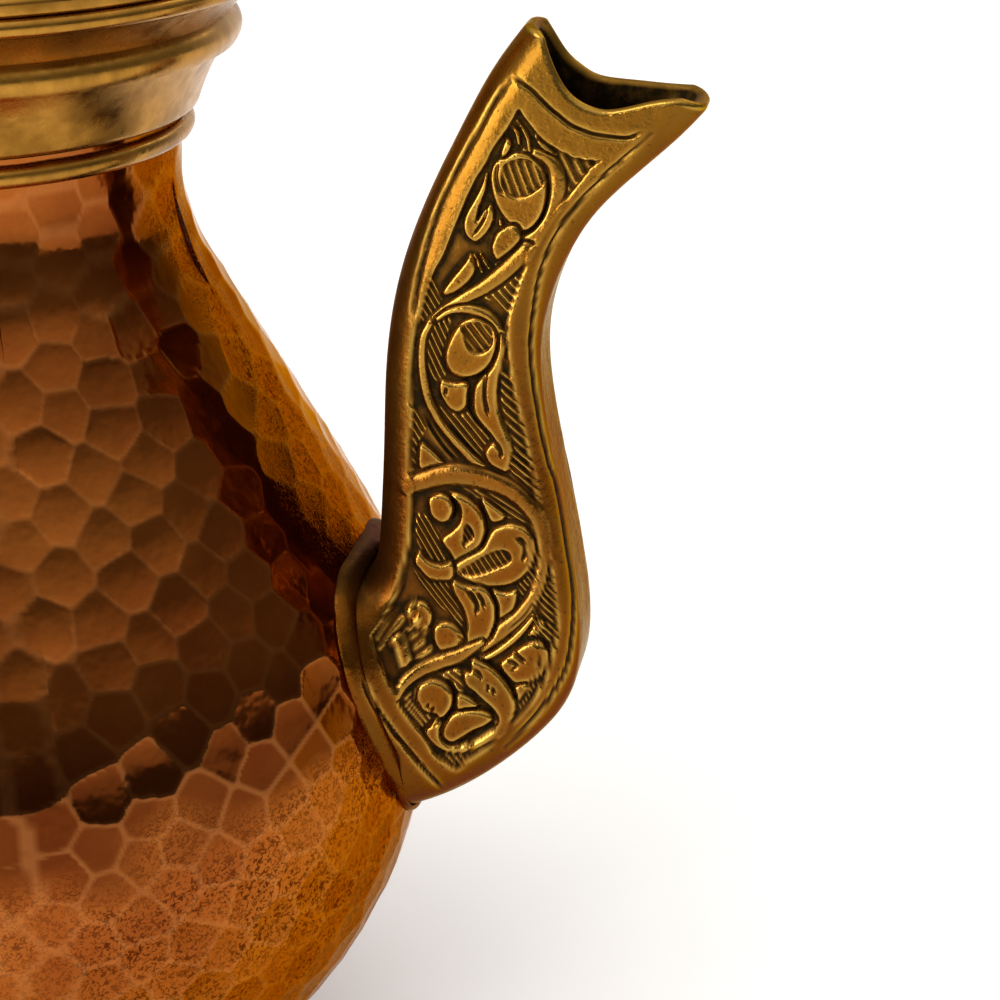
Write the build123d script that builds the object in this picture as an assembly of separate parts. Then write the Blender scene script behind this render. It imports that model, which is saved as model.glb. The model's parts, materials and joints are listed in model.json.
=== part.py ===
# Hammered copper teapot with a carved cast-brass spout and handle and a hinged domed lid.
# Millimetres, +Z up, origin at the centre of the foot's underside, spout towards +X,
# handle and lid hinge towards -X. The pot is symmetric about the XZ plane.
import os
from math import asin, atan2, cos, degrees, radians, sin, sqrt

from build123d import *

# Copper body, a shell raised from sheet
belly_radius = 67.5
shoulder_angle = 29.2  # cone of the shoulder, degrees from upright
waist_radius = 32.5
neck_curve = 32.0  # radius of the hollow curve round the waist
neck_length = 17.5  # neck above the waist
body_wall = 1.2
foot_radius = 44.0
foot_height = 7.0  # upright foot under the belly
foot_blend = 4.0
base_wall = 1.4  # bottom pan that laps round the foot
foot_show = 1.5  # foot left bare above the pan

# Brass mouth ring and the bead under it
skirt_lap = 9.0  # how far the ring laps down the neck
skirt_wall = 1.5
band_wall = 4.3  # band outside the neck's edge
band_height = 5.0
lip_reach = 9.3  # lip outside the neck's edge
lip_height = 12.0  # top of the lip above the neck's edge
lip_edge = 2.6
bead_radius = 1.6
bead_gap = 1.2  # between the bead and the skirt
solder_gap = 0.1  # between the bead and the neck

# Spout: lines across it from mouth to root. Each has the (reach, rise) of its back and
# its front, from the belly's side and centre, and the spout's thickness there.
spout_stations = [
    ((17.0, 112.5), (42.5, 102.0), 13.0),
    ((12.0, 105.5), (37.5, 96.5), 13.5),
    ((7.5, 97.0), (29.5, 89.0), 14.5),
    ((3.0, 87.5), (24.5, 82.5), 15.5),
    ((-1.0, 76.0), (21.0, 74.5), 17.0),
    ((-3.0, 63.5), (19.5, 64.5), 18.0),
    ((-3.5, 51.5), (21.0, 52.0), 19.0),
    ((-4.0, 40.0), (23.5, 39.5), 20.5),
    ((-5.0, 32.0), (25.5, 26.5), 22.0),
    ((-8.0, 28.0), (25.0, 15.0), 23.5),
    ((-11.0, 26.0), (20.0, 6.0), 25.0),
    ((-13.5, 24.5), (11.0, -2.0), 26.0),
    ((-15.5, 23.5), (1.5, -7.5), 26.5),
    ((-20.0, 22.0), (-8.0, -10.5), 27.0),
]
spout_wall = 2.0
spout_corner = 5.0  # rounding of the spout's edges at the mouth
root_corner = 12.0  # and at the root
mouth_peak = (18.0, 113.5)  # the rim dips from the back peak to the pouring lip
mouth_dip = (22.0, 105.5)
mouth_low = (28.0, 102.4)
mouth_lip = (44.0, 103.8)
flange_wall = 2.2
# Right-hand edge of the flange, as half width and rise, from its top to its bottom
flange_edge = [(0.0, 33.0), (13.0, 31.0), (20.0, 21.0), (18.0, 8.0), (9.5, -6.0), (0.0, -11.5)]
flare_depth = 9.0  # the foot of the spout narrows from the flange, this far into the body,
flare_reach = 6.0  # to this far out of it,
flare_share = 0.56  # where it has this share of the flange's size
strainer_hole = 1.7
strainer_pitch = 5.2
strainer_rings = 2  # rings of holes round the middle one
strainer_rise = 5.0

# Handle: the same kind of lines, from its upper end to its lower one
handle_stations = [
    ((-28.0, 61.5), (-28.0, 47.0), 15.0),
    ((-14.0, 71.5), (-8.5, 57.5), 13.5),
    ((3.0, 82.0), (7.0, 67.0), 12.5),
    ((21.0, 86.0), (20.5, 70.0), 12.0),
    ((38.0, 80.0), (30.5, 66.0), 12.0),
    ((49.0, 66.0), (33.5, 58.0), 12.0),
    ((52.0, 46.0), (36.0, 45.5), 12.0),
    ((47.5, 25.0), (32.5, 29.5), 12.0),
    ((37.0, 4.5), (24.0, 12.0), 12.5),
    ((22.0, -11.5), (12.0, -1.5), 13.0),
    ((6.0, -22.0), (-0.5, -9.0), 14.5),
    ((-8.0, -27.0), (-12.0, -13.0), 15.5),
]
handle_corner = 3.5
thumb_scroll = (27.0, 88.0)
thumb_radius = 5.5
thumb_width = 11.0
palm_wall = 2.4
palm_length = 40.0
palm_width = 24.0
upper_palm_rise = 56.0
lower_palm_rise = -18.0
rivet_spread = 29.0  # between the two rivets of a palm
rivet_radius = 1.7
rivet_head = 3.2
rivet_rise = 1.5
rove_radius = 4.2
rove_wall = 1.0

# Lid
rim_inset = 0.5  # rim inside the lip's edge
rim_wall = 2.6
bezel_gap = 0.8
bezel_wall = 1.0
bezel_depth = 6.5
dome_foot_radius = 40.0
dome_flange = 3.0
dome_rise = 28.0
dome_wall = 1.2
vent_radius = 1.5
vent_elevation = 48.0  # vent in the dome, on the spout's side

# Finial: turned brass, its stud goes through the dome to a washer and a nut
rosette_radius = 11.0
rosette_wall = 2.6
finial_neck = 3.4
finial_collar = 5.6
finial_collar_rise = 2.2
finial_neck_rise = 4.5
finial_ball = 8.0
finial_tip = 2.8
finial_tip_neck = 1.9
stud_radius = 2.5
stud_end = 1.0  # stud beyond the nut
washer_radius = 7.0
washer_wall = 1.2
nut_radius = 4.8  # to the nut's corners
nut_height = 3.2

# Hinge at the back of the mouth
hinge_reach = 4.4  # pin beyond the lip's edge
knuckle_radius = 3.2
knuckle_width = 6.0
knuckle_gap = 0.25
knuckle_clearance = 0.5
pin_radius = 1.4
pin_clearance = 0.06
pin_head = 2.2
pin_head_wall = 1.0
bracket_width = 20.0
bracket_wall = 3.4
bracket_tab = 8.0  # flat tab on the skirt, which takes the rivets
bracket_seat = 1.0  # least metal under the tab's face
strap_wall = 2.0
strap_width = 13.0
strap_climb = 15.0
leaf_rivet_radius = 1.2
leaf_rivet_head = 2.1
leaf_rivet_rise = 1.0
rivet_seat = 0.05  # peened end clear of the dome's hollow side
bracket_rivet_spread = 12.0
strap_rivet_spread = 7.0

os.makedirs("parts", exist_ok=True)


# Shapes and curves that several pieces share
def turned(*edges):
    return revolve(Plane.XZ * make_face(Curve() + list(edges)), Axis.Z)


def polar(centre, radius, angle):
    return (centre[0] + radius * cos(radians(angle)), centre[1] + radius * sin(radians(angle)))


def arc(centre, radius, start, end):
    points = [polar(centre, radius, angle) for angle in (start, (start + end) / 2, end)]
    return ThreePointArc(*points)


def disc(radius, height, low=0.0):
    return Pos(0, 0, low) * Cylinder(radius, height, align=(Align.CENTER, Align.CENTER, Align.MIN))


def rod_along_y(place, radius, width):
    return Pos(place[0], 0, place[1]) * Rot(90, 0, 0) * Cylinder(radius, width)


def through(site, face, depth):
    # Prism of a face, as deep on both sides of the site
    return extrude(site.offset(-depth) * face, 2 * depth)


def drill(part, sites, radius, depth):
    for site in sites:
        part -= through(site, Circle(radius), depth)
    return part


# The body's outline: foot, belly, shoulder cone and waist, with the centres of its arcs
slope = radians(shoulder_angle)
foot_curve = (foot_radius + foot_blend, foot_height)
belly_height = foot_height + sqrt((belly_radius + foot_blend) ** 2 - foot_curve[0] ** 2)
belly = (0.0, belly_height)
shoulder_reach = (belly_radius + neck_curve) * cos(slope)
shoulder_run = (shoulder_reach - waist_radius - neck_curve) / sin(slope)
waist = (
    waist_radius + neck_curve,
    belly_height + (belly_radius + neck_curve) * sin(slope) + shoulder_run * cos(slope),
)
foot_angle = degrees(atan2(foot_curve[1] - belly[1], foot_curve[0] - belly[0]))
neck_top = waist[1] + neck_length


def neck_angle(height, radius=neck_curve):
    return 180 - degrees(asin((height - waist[1]) / radius))


neck_edge = polar(waist, neck_curve, neck_angle(neck_top))[0]
lip_radius = neck_edge + lip_reach
lip_top = neck_top + lip_height
skirt_low = neck_top - skirt_lap


def body_solid(inset, bottom, top):
    foot = arc(foot_curve, foot_blend + inset, 180, 180 + foot_angle)
    bulge = arc(belly, belly_radius - inset, foot_angle, shoulder_angle)
    neck_radius = neck_curve + inset
    neck = arc(waist, neck_radius, 180 + shoulder_angle, neck_angle(top, neck_radius))
    return turned(
        Line((0, bottom), (foot_radius - inset, bottom)),
        Line((foot_radius - inset, bottom), foot @ 0),
        foot,
        bulge,
        Line(bulge @ 1, neck @ 0),
        neck,
        Line(neck @ 1, (0, top)),
        Line((0, top), (0, bottom)),
    )


def body_side(rise):
    # Radius of the body and its surface's lean at a height above the belly's centre
    if rise < belly_radius * sin(slope):
        angle = degrees(asin(rise / belly_radius))
        return belly_radius * cos(radians(angle)), angle
    run = (rise - belly_radius * sin(slope)) / cos(slope)
    return belly_radius * cos(slope) - run * sin(slope), shoulder_angle


def handle_side_plane(rise):
    radius, angle = body_side(rise)
    normal = (-cos(radians(angle)), 0, sin(radians(angle)))
    return Plane((-radius, 0, belly_height + rise), x_dir=(0, 1, 0), z_dir=normal)


def palm_sites(rise):
    step = rivet_spread / 2 * cos(radians(body_side(rise)[1]))
    return [handle_side_plane(rise + side * step) for side in (-1, 1)]


def bracket_sites():
    height = skirt_low + bracket_tab / 2
    half = bracket_rivet_spread / 2
    return [
        Plane((tab_face, side * half, height), x_dir=(0, 1, 0), z_dir=(-1, 0, 0)) for side in (-1, 1)
    ]


tab_face = -(polar(waist, neck_curve - skirt_wall, neck_angle(skirt_low + bracket_tab))[0] + bracket_seat)
outer_body = body_solid(0, base_wall, neck_top)


# Copper shell, pierced behind the spout and for the rivets
def make_body():
    shell = outer_body - body_solid(body_wall, base_wall - body_wall, neck_top + body_wall)
    for ring in range(strainer_rings + 1):
        count = max(1, 6 * ring)
        for index in range(count):
            across, up = polar((0, strainer_rise), strainer_pitch * ring, 360 * index / count)
            place = Pos(belly_radius, across, belly_height + up) * Rot(0, 90, 0)
            shell -= place * Cylinder(strainer_hole, belly_radius / 2)
    palms = palm_sites(upper_palm_rise) + palm_sites(lower_palm_rise)
    shell = drill(shell, palms, rivet_radius, 4 * body_wall)
    return drill(shell, bracket_sites(), leaf_rivet_radius, waist_radius / 2)


# Bottom pan, lapped round the foot
def make_base_plate():
    lap_top = foot_height - foot_show
    return disc(foot_radius + base_wall, lap_top) - disc(foot_radius, lap_top, base_wall)


# Mouth ring: skirt over the neck, band, hollow and everted lip
def make_collar():
    skirt = arc(waist, neck_curve - skirt_wall, neck_angle(skirt_low), neck_angle(neck_top))
    band_radius = neck_edge + band_wall
    band_edge = band_radius - band_height / 4
    band_top = neck_top + band_height
    band = ThreePointArc(
        (band_edge, neck_top), (band_radius, neck_top + band_height / 2), (band_edge, band_top)
    )
    lip_low = (lip_radius - lip_edge / 2, lip_top - lip_edge)
    flare_height = (band_top + lip_low[1]) / 2
    flare = ThreePointArc(band @ 1, (band_radius + lip_edge / 4, flare_height), lip_low)
    edge = ThreePointArc(
        lip_low, (lip_radius, lip_top - lip_edge / 2), (lip_radius - lip_edge / 2, lip_top)
    )
    blank = turned(
        Line((0, skirt_low), skirt @ 0),
        skirt,
        Line(skirt @ 1, band @ 0),
        band,
        flare,
        edge,
        Line(edge @ 1, (0, lip_top)),
        Line((0, lip_top), (0, skirt_low)),
    )
    ring = blank - outer_body - disc(neck_edge, 2 * lip_height, neck_top)
    return drill(ring, bracket_sites(), leaf_rivet_radius, waist_radius / 2)


def make_neck_bead():
    height = skirt_low - bead_gap - bead_radius
    centre = polar(waist, neck_curve, neck_angle(height))
    return Pos(0, 0, height) * Torus(centre[0], bead_radius) - body_solid(
        -solder_gap, base_wall, neck_top
    )


# Hollow and solid castings are lofted through their lines
def station_face(station, side, corner, inset):
    back, front, thickness = station
    ends = [Vector(side * (belly_radius + reach), 0, belly_height + rise) for reach, rise in (back, front)]
    across = ends[1] - ends[0]
    plane = Plane((ends[0] + ends[1]) / 2, x_dir=across, z_dir=across.cross(Vector(0, 1, 0)))
    return plane * RectangleRounded(
        across.length - 2 * inset, thickness - 2 * inset, corner - inset
    )


def loft_stations(stations, side, corners, inset=0.0):
    faces = [station_face(*pair, inset) for pair in zip(stations, [side] * len(stations), corners)]
    return loft(faces)


# Spout, seated on the body by its flange, with the dipped mouth
def spout_corners():
    last = len(spout_stations) - 1
    widening = root_corner - spout_corner
    return [spout_corner + widening * (index / last) ** 4 for index in range(last + 1)]


def flange_face(share):
    # The flange's outline, drawn in towards its middle by a share
    middle = (flange_edge[0][1] + flange_edge[-1][1]) / 2
    right = [(share * wide, middle + share * (rise - middle)) for wide, rise in flange_edge]
    left = [(-wide, rise) for wide, rise in right[-2:0:-1]]
    return make_face(Spline(*right, *left, periodic=True))


def make_flange(outer):
    # Plate on the body, and the flare from it up to the tube
    plane = Plane((0, 0, belly_height), x_dir=(0, 1, 0), z_dir=(1, 0, 0))
    plate = extrude(plane * flange_face(1), 2 * belly_radius)
    plate &= body_solid(-flange_wall, base_wall, neck_top)
    flare = loft(
        [
            plane.offset(belly_radius - flare_depth) * flange_face(1),
            plane.offset(belly_radius + flare_reach) * flange_face(flare_share),
        ]
    )
    return plate + flare - outer


def make_spout():
    tube = loft_stations(spout_stations, 1, spout_corners())
    bore = loft_stations(spout_stations, 1, spout_corners(), spout_wall)
    return (tube - outer_body + make_flange(outer_body)) - bore - mouth_cutter()


def mouth_cutter():
    peak, dip, low, lip = [
        (belly_radius + reach, belly_height + rise)
        for reach, rise in (mouth_peak, mouth_dip, mouth_low, mouth_lip)
    ]
    top, end = peak[1] + spout_corner, lip[0] + spout_corner
    rim = ThreePointArc(peak, dip, low)
    rest = Polyline(low, lip, (end, lip[1]), (end, top), (peak[0], top), peak)
    return through(Plane.XZ, make_face(Curve() + [rim, rest]), spout_stations[0][2])


# Handle, one casting with its two palms and a scroll for the thumb
def make_palm(rise):
    seat = handle_side_plane(rise)
    pad = through(seat, Ellipse(palm_width / 2, palm_length / 2), palm_length / 4)
    return pad & (body_solid(-palm_wall, base_wall, neck_top) - outer_body)


def make_handle():
    corners = [handle_corner] * len(handle_stations)
    grip = loft_stations(handle_stations, -1, corners) - outer_body
    centre = (-(belly_radius + thumb_scroll[0]), belly_height + thumb_scroll[1])
    grip += rod_along_y(centre, thumb_radius, thumb_width)
    for rise in (upper_palm_rise, lower_palm_rise):
        sites = palm_sites(rise)
        grip = drill(grip + make_palm(rise), sites, rivet_radius, 4 * palm_wall)
        for site in sites:
            grip -= extrude(site.offset(palm_wall) * Circle(rivet_head), 4 * rivet_rise)
    return grip


# Rivets: a shank from buried below the site's face to grip above it, and both heads
def button(radius, rise):
    ball = (radius**2 + rise**2) / (2 * rise)
    curve = arc((0, rise - ball), ball, degrees(atan2(ball - rise, radius)), 90)
    return turned(Line((0, 0), curve @ 0), curve, Line(curve @ 1, (0, 0)))


def make_rivets(sites, shank, grip, buried, head, rise):
    body = disc(shank, grip + buried, -buried) + Pos(0, 0, grip) * button(head, rise)
    body += Pos(0, 0, -buried) * Rot(180, 0, 0) * button(shank * 1.4, rise / 2)
    return Compound([site * body for site in sites])


def make_handle_rivets(rise):
    buried = body_wall + rove_wall
    return make_rivets(palm_sites(rise), rivet_radius, palm_wall, buried, rivet_head, rivet_rise)


# Roves, the washers under the rivets' inner ends, shaped to the inside of the shell
def make_roves(rise):
    hollow = body_solid(body_wall, base_wall - body_wall, neck_top)
    roves = []
    for site in palm_sites(rise):
        blank = extrude(site.offset(-body_wall - rove_wall) * Circle(rove_radius), 2 * rove_wall)
        roves.append(drill(blank, [site], rivet_radius, 4 * rove_wall) & hollow)
    return Compound(roves)


# Hinge bracket: a tab on the skirt, a bowed strap and the two outer knuckles
pin_axis = (-(lip_radius + hinge_reach), lip_top + rim_wall)


def make_knuckle(start, end, bore):
    place = Pos(pin_axis[0], start, pin_axis[1]) * Rot(-90, 0, 0)
    blank = Cylinder(knuckle_radius, end - start, align=(Align.CENTER, Align.CENTER, Align.MIN))
    return place * (blank - Cylinder(bore, 2 * bracket_width))


def make_hinge_bracket():
    x, z = pin_axis
    outer = x - knuckle_radius
    tab_top = skirt_low + bracket_tab
    profile = Polyline(
        (tab_face + 2 * bracket_wall, skirt_low),
        (tab_face, skirt_low),
        (tab_face, tab_top),
        (outer, z - 2 * knuckle_radius),
        (outer, z),
        (outer + bracket_wall, z),
        (outer + bracket_wall, z - 2.6 * knuckle_radius),
        (tab_face + bracket_wall, tab_top - bracket_wall / 2),
        (tab_face + 2 * bracket_wall, tab_top - bracket_wall / 2),
        close=True,
    )
    bracket = through(Plane.XZ, make_face(profile), bracket_width / 2)
    gap = knuckle_width / 2 + knuckle_gap
    bracket -= rod_along_y(pin_axis, knuckle_radius + knuckle_clearance, 2 * gap)
    bracket -= rod_along_y(pin_axis, pin_radius, 2 * bracket_width)
    bracket += make_knuckle(-bracket_width / 2, -gap, pin_radius)
    bracket += make_knuckle(gap, bracket_width / 2, pin_radius)
    return drill(bracket - collar - outer_body, bracket_sites(), leaf_rivet_radius, bracket_width)


def make_bracket_rivets():
    buried = -tab_face - polar(waist, neck_curve, neck_angle(skirt_low))[0] + 2 * body_wall
    return make_rivets(
        bracket_sites(), leaf_rivet_radius, 0, buried, leaf_rivet_head, leaf_rivet_rise
    )


def make_hinge_pin():
    pin = rod_along_y(pin_axis, pin_radius, bracket_width)
    for side in (-1, 1):
        head = rod_along_y(pin_axis, pin_head, pin_head_wall)
        pin += Pos(0, side * (bracket_width + pin_head_wall) / 2, 0) * head
    return pin


# Lid: rim ring, bezel that drops into the mouth, and the hammered dome
rim_top = lip_top + rim_wall
bezel_radius = neck_edge - bezel_gap
dome_radius = (dome_foot_radius**2 + dome_rise**2) / (2 * dome_rise)
dome_centre = rim_top + dome_rise - dome_radius
apex = rim_top + dome_rise


def dome_ball(outset):
    return Pos(0, 0, dome_centre) * Sphere(dome_radius + outset)


def dome_site(elevation, azimuth):
    level = cos(radians(elevation))
    normal = Vector(level * cos(radians(azimuth)), level * sin(radians(azimuth)), sin(radians(elevation)))
    return Plane(Vector(0, 0, dome_centre) + normal * dome_radius, z_dir=normal)


def strap_sites():
    elevation = degrees(asin((rim_top + strap_climb * 0.6 - dome_centre) / dome_radius))
    spread = degrees(strap_rivet_spread / 2 / dome_radius)
    return [dome_site(elevation, 180 + side * spread) for side in (-1, 1)]


def make_lid_rim():
    ring = disc(lip_radius - rim_inset, rim_wall, lip_top)
    ring = fillet(ring.edges().group_by(Axis.Z)[-1], rim_wall * 0.45)
    return ring - disc(bezel_radius - bezel_wall, 3 * rim_wall, lip_top - rim_wall)


def make_lid_bezel():
    low = lip_top - bezel_depth
    return disc(bezel_radius, bezel_depth, low) - disc(bezel_radius - bezel_wall, 2 * bezel_depth, low)


def make_lid_dome():
    dome = dome_ball(0) & disc(2 * dome_radius, 2 * dome_radius, rim_top)
    dome += disc(dome_foot_radius + dome_flange, dome_wall, rim_top)
    dome -= dome_ball(-dome_wall)
    dome -= disc(stud_radius, 4 * dome_wall, apex - 2 * dome_wall)
    dome = drill(dome, strap_sites(), leaf_rivet_radius, 4 * dome_wall)
    return drill(dome, [dome_site(vent_elevation, 0)], vent_radius, 4 * dome_wall)


# Lid's hinge strap: knuckle, tongue over the rim and a leaf up the dome
def make_hinge_strap():
    x = pin_axis[0]
    align = (Align.MIN, Align.CENTER, Align.MIN)
    tongue = Pos(x, 0, rim_top) * Box(2 * knuckle_radius, knuckle_width, strap_wall, align=align)
    start = x + knuckle_radius + knuckle_clearance
    leaf = Pos(start, 0, rim_top) * Box(-start, strap_width, strap_climb, align=align)
    foot = Pos(start, 0, rim_top) * Box(-start, strap_width, dome_wall + strap_wall, align=align)
    strap = tongue + foot + (leaf & dome_ball(strap_wall))
    strap -= dome_ball(0) + disc(dome_foot_radius + dome_flange, dome_wall, rim_top)
    strap -= rod_along_y(pin_axis, knuckle_radius * 0.9, 2 * bracket_width)
    strap += make_knuckle(-knuckle_width / 2, knuckle_width / 2, pin_radius + pin_clearance)
    return drill(strap, strap_sites(), leaf_rivet_radius, 4 * strap_wall)


def make_strap_rivets():
    return make_rivets(
        strap_sites(),
        leaf_rivet_radius,
        strap_wall,
        dome_wall + rivet_seat,
        leaf_rivet_head,
        leaf_rivet_rise,
    )


# Finial with its rosette above the dome, and the washer and nut below it
def make_rosette():
    rosette = disc(rosette_radius, 2 * rosette_wall, apex - rosette_wall)
    rosette = fillet(rosette.edges().group_by(Axis.Z)[-1], rosette_wall * 0.6)
    return rosette - dome_ball(0) - disc(stud_radius, 4 * rosette_wall, apex - rosette_wall)


def make_finial():
    low = apex + rosette_wall
    neck_low = low + finial_collar_rise
    neck_high = neck_low + finial_neck_rise
    ball_centre = (0, neck_high + sqrt(finial_ball**2 - finial_neck**2))
    ball_low = degrees(atan2(neck_high - ball_centre[1], finial_neck))
    tip_low = ball_centre[1] + sqrt(finial_ball**2 - finial_tip_neck**2)
    ball_high = degrees(atan2(tip_low - ball_centre[1], finial_tip_neck))
    ball = arc(ball_centre, finial_ball, ball_low, ball_high)
    tip_centre = (0, tip_low + sqrt(finial_tip**2 - finial_tip_neck**2))
    tip = arc(tip_centre, finial_tip, degrees(atan2(tip_low - tip_centre[1], finial_tip_neck)), 90)
    collar_edge = ThreePointArc(
        (finial_collar, low),
        (finial_collar + finial_collar_rise / 3, low + finial_collar_rise / 2),
        (finial_collar, neck_low),
    )
    end = apex - dome_wall - washer_wall - nut_height - stud_end
    return turned(
        Line((0, end), (stud_radius, end)),
        Line((stud_radius, end), (stud_radius, low)),
        Line((stud_radius, low), (finial_collar, low)),
        collar_edge,
        Line((finial_collar, neck_low), (finial_neck, neck_low)),
        Line((finial_neck, neck_low), (finial_neck, neck_high)),
        ball,
        tip,
        Line(tip @ 1, (0, end)),
    )


def make_finial_washer():
    low = apex - dome_wall - washer_wall
    blank = disc(washer_radius, 2 * washer_wall, low) & dome_ball(-dome_wall)
    return blank - disc(stud_radius, 4 * washer_wall, low - washer_wall)


def make_finial_nut():
    low = apex - dome_wall - washer_wall - nut_height
    nut = extrude(Pos(0, 0, low) * RegularPolygon(nut_radius, 6), nut_height)
    return nut - disc(stud_radius, 3 * nut_height, low - nut_height)


collar = make_collar()
pieces = {
    "body": make_body(),
    "base_plate": make_base_plate(),
    "collar": collar,
    "neck_bead": make_neck_bead(),
    "spout": make_spout(),
    "handle": make_handle(),
    "handle_upper_rivets": make_handle_rivets(upper_palm_rise),
    "handle_lower_rivets": make_handle_rivets(lower_palm_rise),
    "handle_upper_roves": make_roves(upper_palm_rise),
    "handle_lower_roves": make_roves(lower_palm_rise),
    "hinge_bracket": make_hinge_bracket(),
    "hinge_bracket_rivets": make_bracket_rivets(),
    "hinge_pin": make_hinge_pin(),
    "hinge_strap": make_hinge_strap(),
    "hinge_strap_rivets": make_strap_rivets(),
    "lid_rim": make_lid_rim(),
    "lid_bezel": make_lid_bezel(),
    "lid_dome": make_lid_dome(),
    "finial_rosette": make_rosette(),
    "finial": make_finial(),
    "finial_washer": make_finial_washer(),
    "finial_nut": make_finial_nut(),
}

for name, piece in pieces.items():
    export_step(piece, f"parts/{name}.step")
    print(name, round(piece.volume), "cubic mm in", len(piece.solids()), "solids")
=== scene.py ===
# Hammered copper teapot with a carved cast-brass spout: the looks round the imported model.
# Shapes are worked out in millimetres and put down in metres.
import json
from math import asin, atan2, cos, degrees, pi, radians, sin, sqrt, tan

import bpy
import numpy as np
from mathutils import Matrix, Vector, kdtree


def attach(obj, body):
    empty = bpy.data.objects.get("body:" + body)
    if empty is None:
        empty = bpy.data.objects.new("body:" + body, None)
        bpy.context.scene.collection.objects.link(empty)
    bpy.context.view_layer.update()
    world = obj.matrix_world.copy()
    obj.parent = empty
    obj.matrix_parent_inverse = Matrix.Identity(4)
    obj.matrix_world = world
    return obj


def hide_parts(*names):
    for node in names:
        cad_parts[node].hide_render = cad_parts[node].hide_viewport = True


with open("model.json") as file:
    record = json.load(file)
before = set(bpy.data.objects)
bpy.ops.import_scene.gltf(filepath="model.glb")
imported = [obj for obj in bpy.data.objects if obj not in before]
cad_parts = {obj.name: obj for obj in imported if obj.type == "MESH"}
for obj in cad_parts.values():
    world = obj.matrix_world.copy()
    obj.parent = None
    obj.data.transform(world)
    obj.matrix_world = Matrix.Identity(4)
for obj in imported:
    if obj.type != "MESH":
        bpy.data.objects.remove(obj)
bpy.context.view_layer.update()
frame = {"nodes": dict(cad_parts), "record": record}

metre = 0.001  # one millimetre in Blender's units

# View of the photograph, in pixels of its 1000 x 1000 frame
photoView = dict(
    aim=(80.32, 0.0, 100.78), turn=10.0, lift=22.0, opening=22.0, away=381.08, middle=500.0,
)


def viewAxes():
    turn, lift = radians(photoView["turn"]), radians(photoView["lift"])
    back = np.array([sin(turn) * cos(lift), -cos(turn) * cos(lift), sin(lift)])
    right = np.array([cos(turn), sin(turn), 0.0])
    return back, right, np.cross(back, right)


def toPhoto(points):
    # Pixels of the photograph where points in millimetres are seen
    back, right, up = viewAxes()
    off = points - np.array(photoView["aim"])
    depth = photoView["away"] - off @ back
    focal = photoView["middle"] / tan(radians(photoView["opening"] / 2))
    middle = photoView["middle"]
    return middle + focal * (off @ right) / depth, middle - focal * (off @ up) / depth


def makeCamera():
    back = Vector(viewAxes()[0])
    lens = bpy.data.cameras.new("photoCamera")
    lens.sensor_width = 36
    lens.lens = lens.sensor_width / 2 / tan(radians(photoView["opening"] / 2))
    lens.clip_start, lens.clip_end = 0.01, 100
    camera = bpy.data.objects.new("photoCamera", lens)
    bpy.context.scene.collection.objects.link(camera)
    camera.location = (Vector(photoView["aim"]) + back * photoView["away"]) * metre
    camera.rotation_euler = (-back).to_track_quat("-Z", "Y").to_euler()
    bpy.context.scene.camera = camera


# Node trees: one maker for materials, the world and Geometry Nodes
class Tree:
    def __init__(self, tree):
        self.tree = tree
        self.tree.nodes.clear()

    def add(self, kind, inputs=None, **settings):
        made = self.tree.nodes.new(kind)
        for key, value in settings.items():
            setattr(made, key, value)
        for key, value in (inputs or {}).items():
            if isinstance(value, bpy.types.NodeSocket):
                self.tree.links.new(value, made.inputs[key])
            else:
                made.inputs[key].default_value = value
        return made

    def math(self, operation, *values):
        return self.add("ShaderNodeMath", dict(enumerate(values)), operation=operation).outputs[0]

    def measure(self, operation, first, second):
        return self.add("ShaderNodeVectorMath", {0: first, 1: second}, operation=operation).outputs["Value"]

    def plus(self, first, second):
        return self.math("ADD", first, second)

    def minus(self, first, second):
        return self.math("SUBTRACT", first, second)

    def times(self, first, second):
        return self.math("MULTIPLY", first, second)

    def most(self, first, second):
        return self.math("MAXIMUM", first, second)

    def mix(self, share, low, high):
        return self.add("ShaderNodeMix", {0: share, 6: low, 7: high}, data_type="RGBA").outputs[2]

    def span(self, value, low, high, outLow=0.0, outHigh=1.0):
        return self.add("ShaderNodeMapRange", {0: value, 1: low, 2: high, 3: outLow, 4: outHigh}).outputs[0]

    def noise(self, place, scale, detail=3.0, rough=0.5, distortion=0.0):
        return self.add("ShaderNodeTexNoise", {
            "Vector": place, "Scale": scale, "Detail": detail, "Roughness": rough, "Distortion": distortion,
        }).outputs[0]

    def cloud(self, place, noise, rise):
        return self.span(self.noise(place, *noise), *rise)

    def trait(self, name):
        return self.add("ShaderNodeAttribute", attribute_name=name).outputs["Fac"]

    def bump(self, height, strength, distance):
        ports = {"Strength": strength, "Distance": distance, "Height": height}
        return self.add("ShaderNodeBump", ports).outputs[0]


def shaderTree(name):
    material = bpy.data.materials.new(name)
    material.use_nodes = True
    kit = Tree(material.node_tree)
    return material, kit, kit.add("ShaderNodeTexCoord").outputs["Object"]


def finishShader(kit, ports):
    surface = kit.add("ShaderNodeBsdfPrincipled", ports)
    out = kit.add("ShaderNodeOutputMaterial")
    kit.tree.links.new(surface.outputs[0], out.inputs[0])


# Meshes in millimetres from points and faces
def plainMesh(name, points, faces, smoothAngle):
    mesh = bpy.data.meshes.new(name)
    mesh.from_pydata((np.asarray(points) * metre).tolist(), [], faces)
    mesh.polygons.foreach_set("use_smooth", np.ones(len(mesh.polygons), bool))
    mesh.set_sharp_from_angle(angle=radians(smoothAngle))
    mesh.update()
    return mesh


def signedVolume(points, faces):
    total = 0.0
    for size in (3, 4):
        picked = np.array([face for face in faces if len(face) == size])
        if len(picked):
            corners = points[picked]
            for second in range(1, size - 1):
                facing = np.cross(corners[:, second], corners[:, second + 1])
                total += np.einsum("ij,ij->i", corners[:, 0], facing).sum() / 6
    return total


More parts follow.
